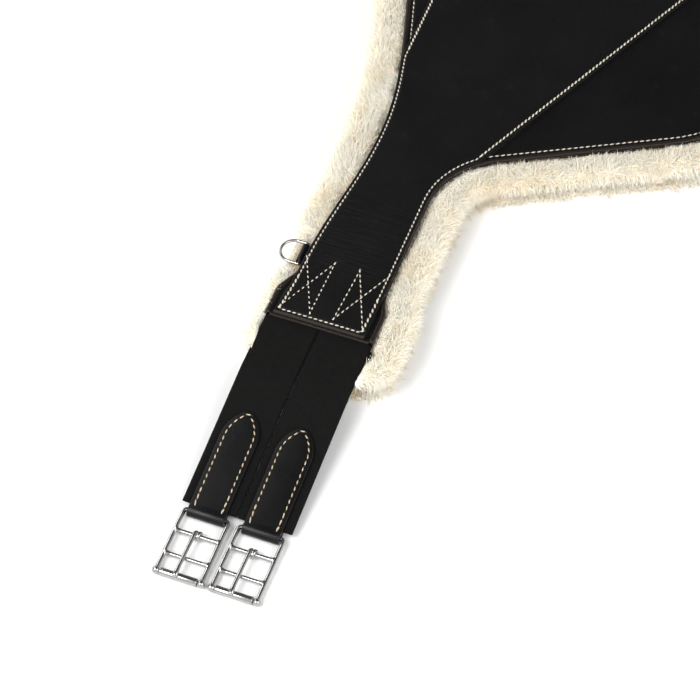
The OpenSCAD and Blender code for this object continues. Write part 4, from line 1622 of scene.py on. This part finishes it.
class GIRTH_OT_seams(GirthOperator, bpy.types.Operator):
    """Sew the body's seams"""
    bl_idname = "girth.seams"
    bl_label = "Seams"

    def build(self, scene):
        body_seams(scene)


class GIRTH_OT_elastics(GirthOperator, bpy.types.Operator):
    """Make the elastics"""
    bl_idname = "girth.elastics"
    bl_label = "Elastics"

    def build(self, scene):
        for end, side in PLACES:
            elastic_web(end, side)


class GIRTH_OT_tabs(GirthOperator, bpy.types.Operator):
    """Make the buckle tabs and their seams"""
    bl_idname = "girth.tabs"
    bl_label = "Buckle tabs"

    def build(self, scene):
        for end, side in PLACES:
            tab_leather(end, side)
            tab_seams(end, side)


class GIRTH_OT_buckles(GirthOperator, bpy.types.Operator):
    """Make the buckle frames, tongues and rollers"""
    bl_idname = "girth.buckles"
    bl_label = "Buckles"

    def build(self, scene):
        for end, side in PLACES:
            buckle_frame(scene, end, side)
            tongue(end, side)
            roller(end, side)


class GIRTH_OT_rings(GirthOperator, bpy.types.Operator):
    """Make the rings and their keepers"""
    bl_idname = "girth.rings"
    bl_label = "Rings"

    def build(self, scene):
        for place_name in RING_PLACES:
            ring_keeper(place_name)
            d_ring(place_name)
        stud_caps()


class GIRTH_OT_stage(GirthOperator, bpy.types.Operator):
    """Set up the floor, the lights and the camera"""
    bl_idname = "girth.stage"
    bl_label = "Stage"

    def build(self, scene):
        floor_and_light(scene)
        camera(scene)


OPERATORS = (GIRTH_OT_finishes, GIRTH_OT_wool, GIRTH_OT_leather, GIRTH_OT_seams, GIRTH_OT_elastics,
             GIRTH_OT_tabs, GIRTH_OT_buckles, GIRTH_OT_rings, GIRTH_OT_stage)


class GIRTH_PT_panel(bpy.types.Panel):
    bl_idname = "GIRTH_PT_panel"
    bl_label = "Stud Guard Girth"
    bl_space_type = "VIEW_3D"
    bl_region_type = "UI"
    bl_category = "Girth"

    def draw(self, context):
        for group in GROUPS:
            box = self.layout.box()
            settings = getattr(context.scene, group)
            for name in settings.__annotations__:
                box.prop(settings, name)
        for operator in OPERATORS:
            self.layout.operator(operator.bl_idname)


CLASSES = (*GROUPS.values(), *OPERATORS, GIRTH_PT_panel)


def register():
    for item in CLASSES:
        bpy.utils.register_class(item)
    for name, group in GROUPS.items():
        setattr(bpy.types.Scene, name, bpy.props.PointerProperty(type=group))


def unregister():
    for name in GROUPS:
        delattr(bpy.types.Scene, name)
    for item in reversed(CLASSES):
        bpy.utils.unregister_class(item)


def main():
    register()
    for operator in OPERATORS:
        family, name = operator.bl_idname.split(".")
        getattr(getattr(bpy.ops, family), name)()
    sizes = {"cad": [list(corner) for corner in CAD_BOX], "visual": [list(corner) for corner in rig.bounds()]}
    with open("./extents.json", "w") as out:
        json.dump(sizes, out)


if __name__ == "__main__":
    main()
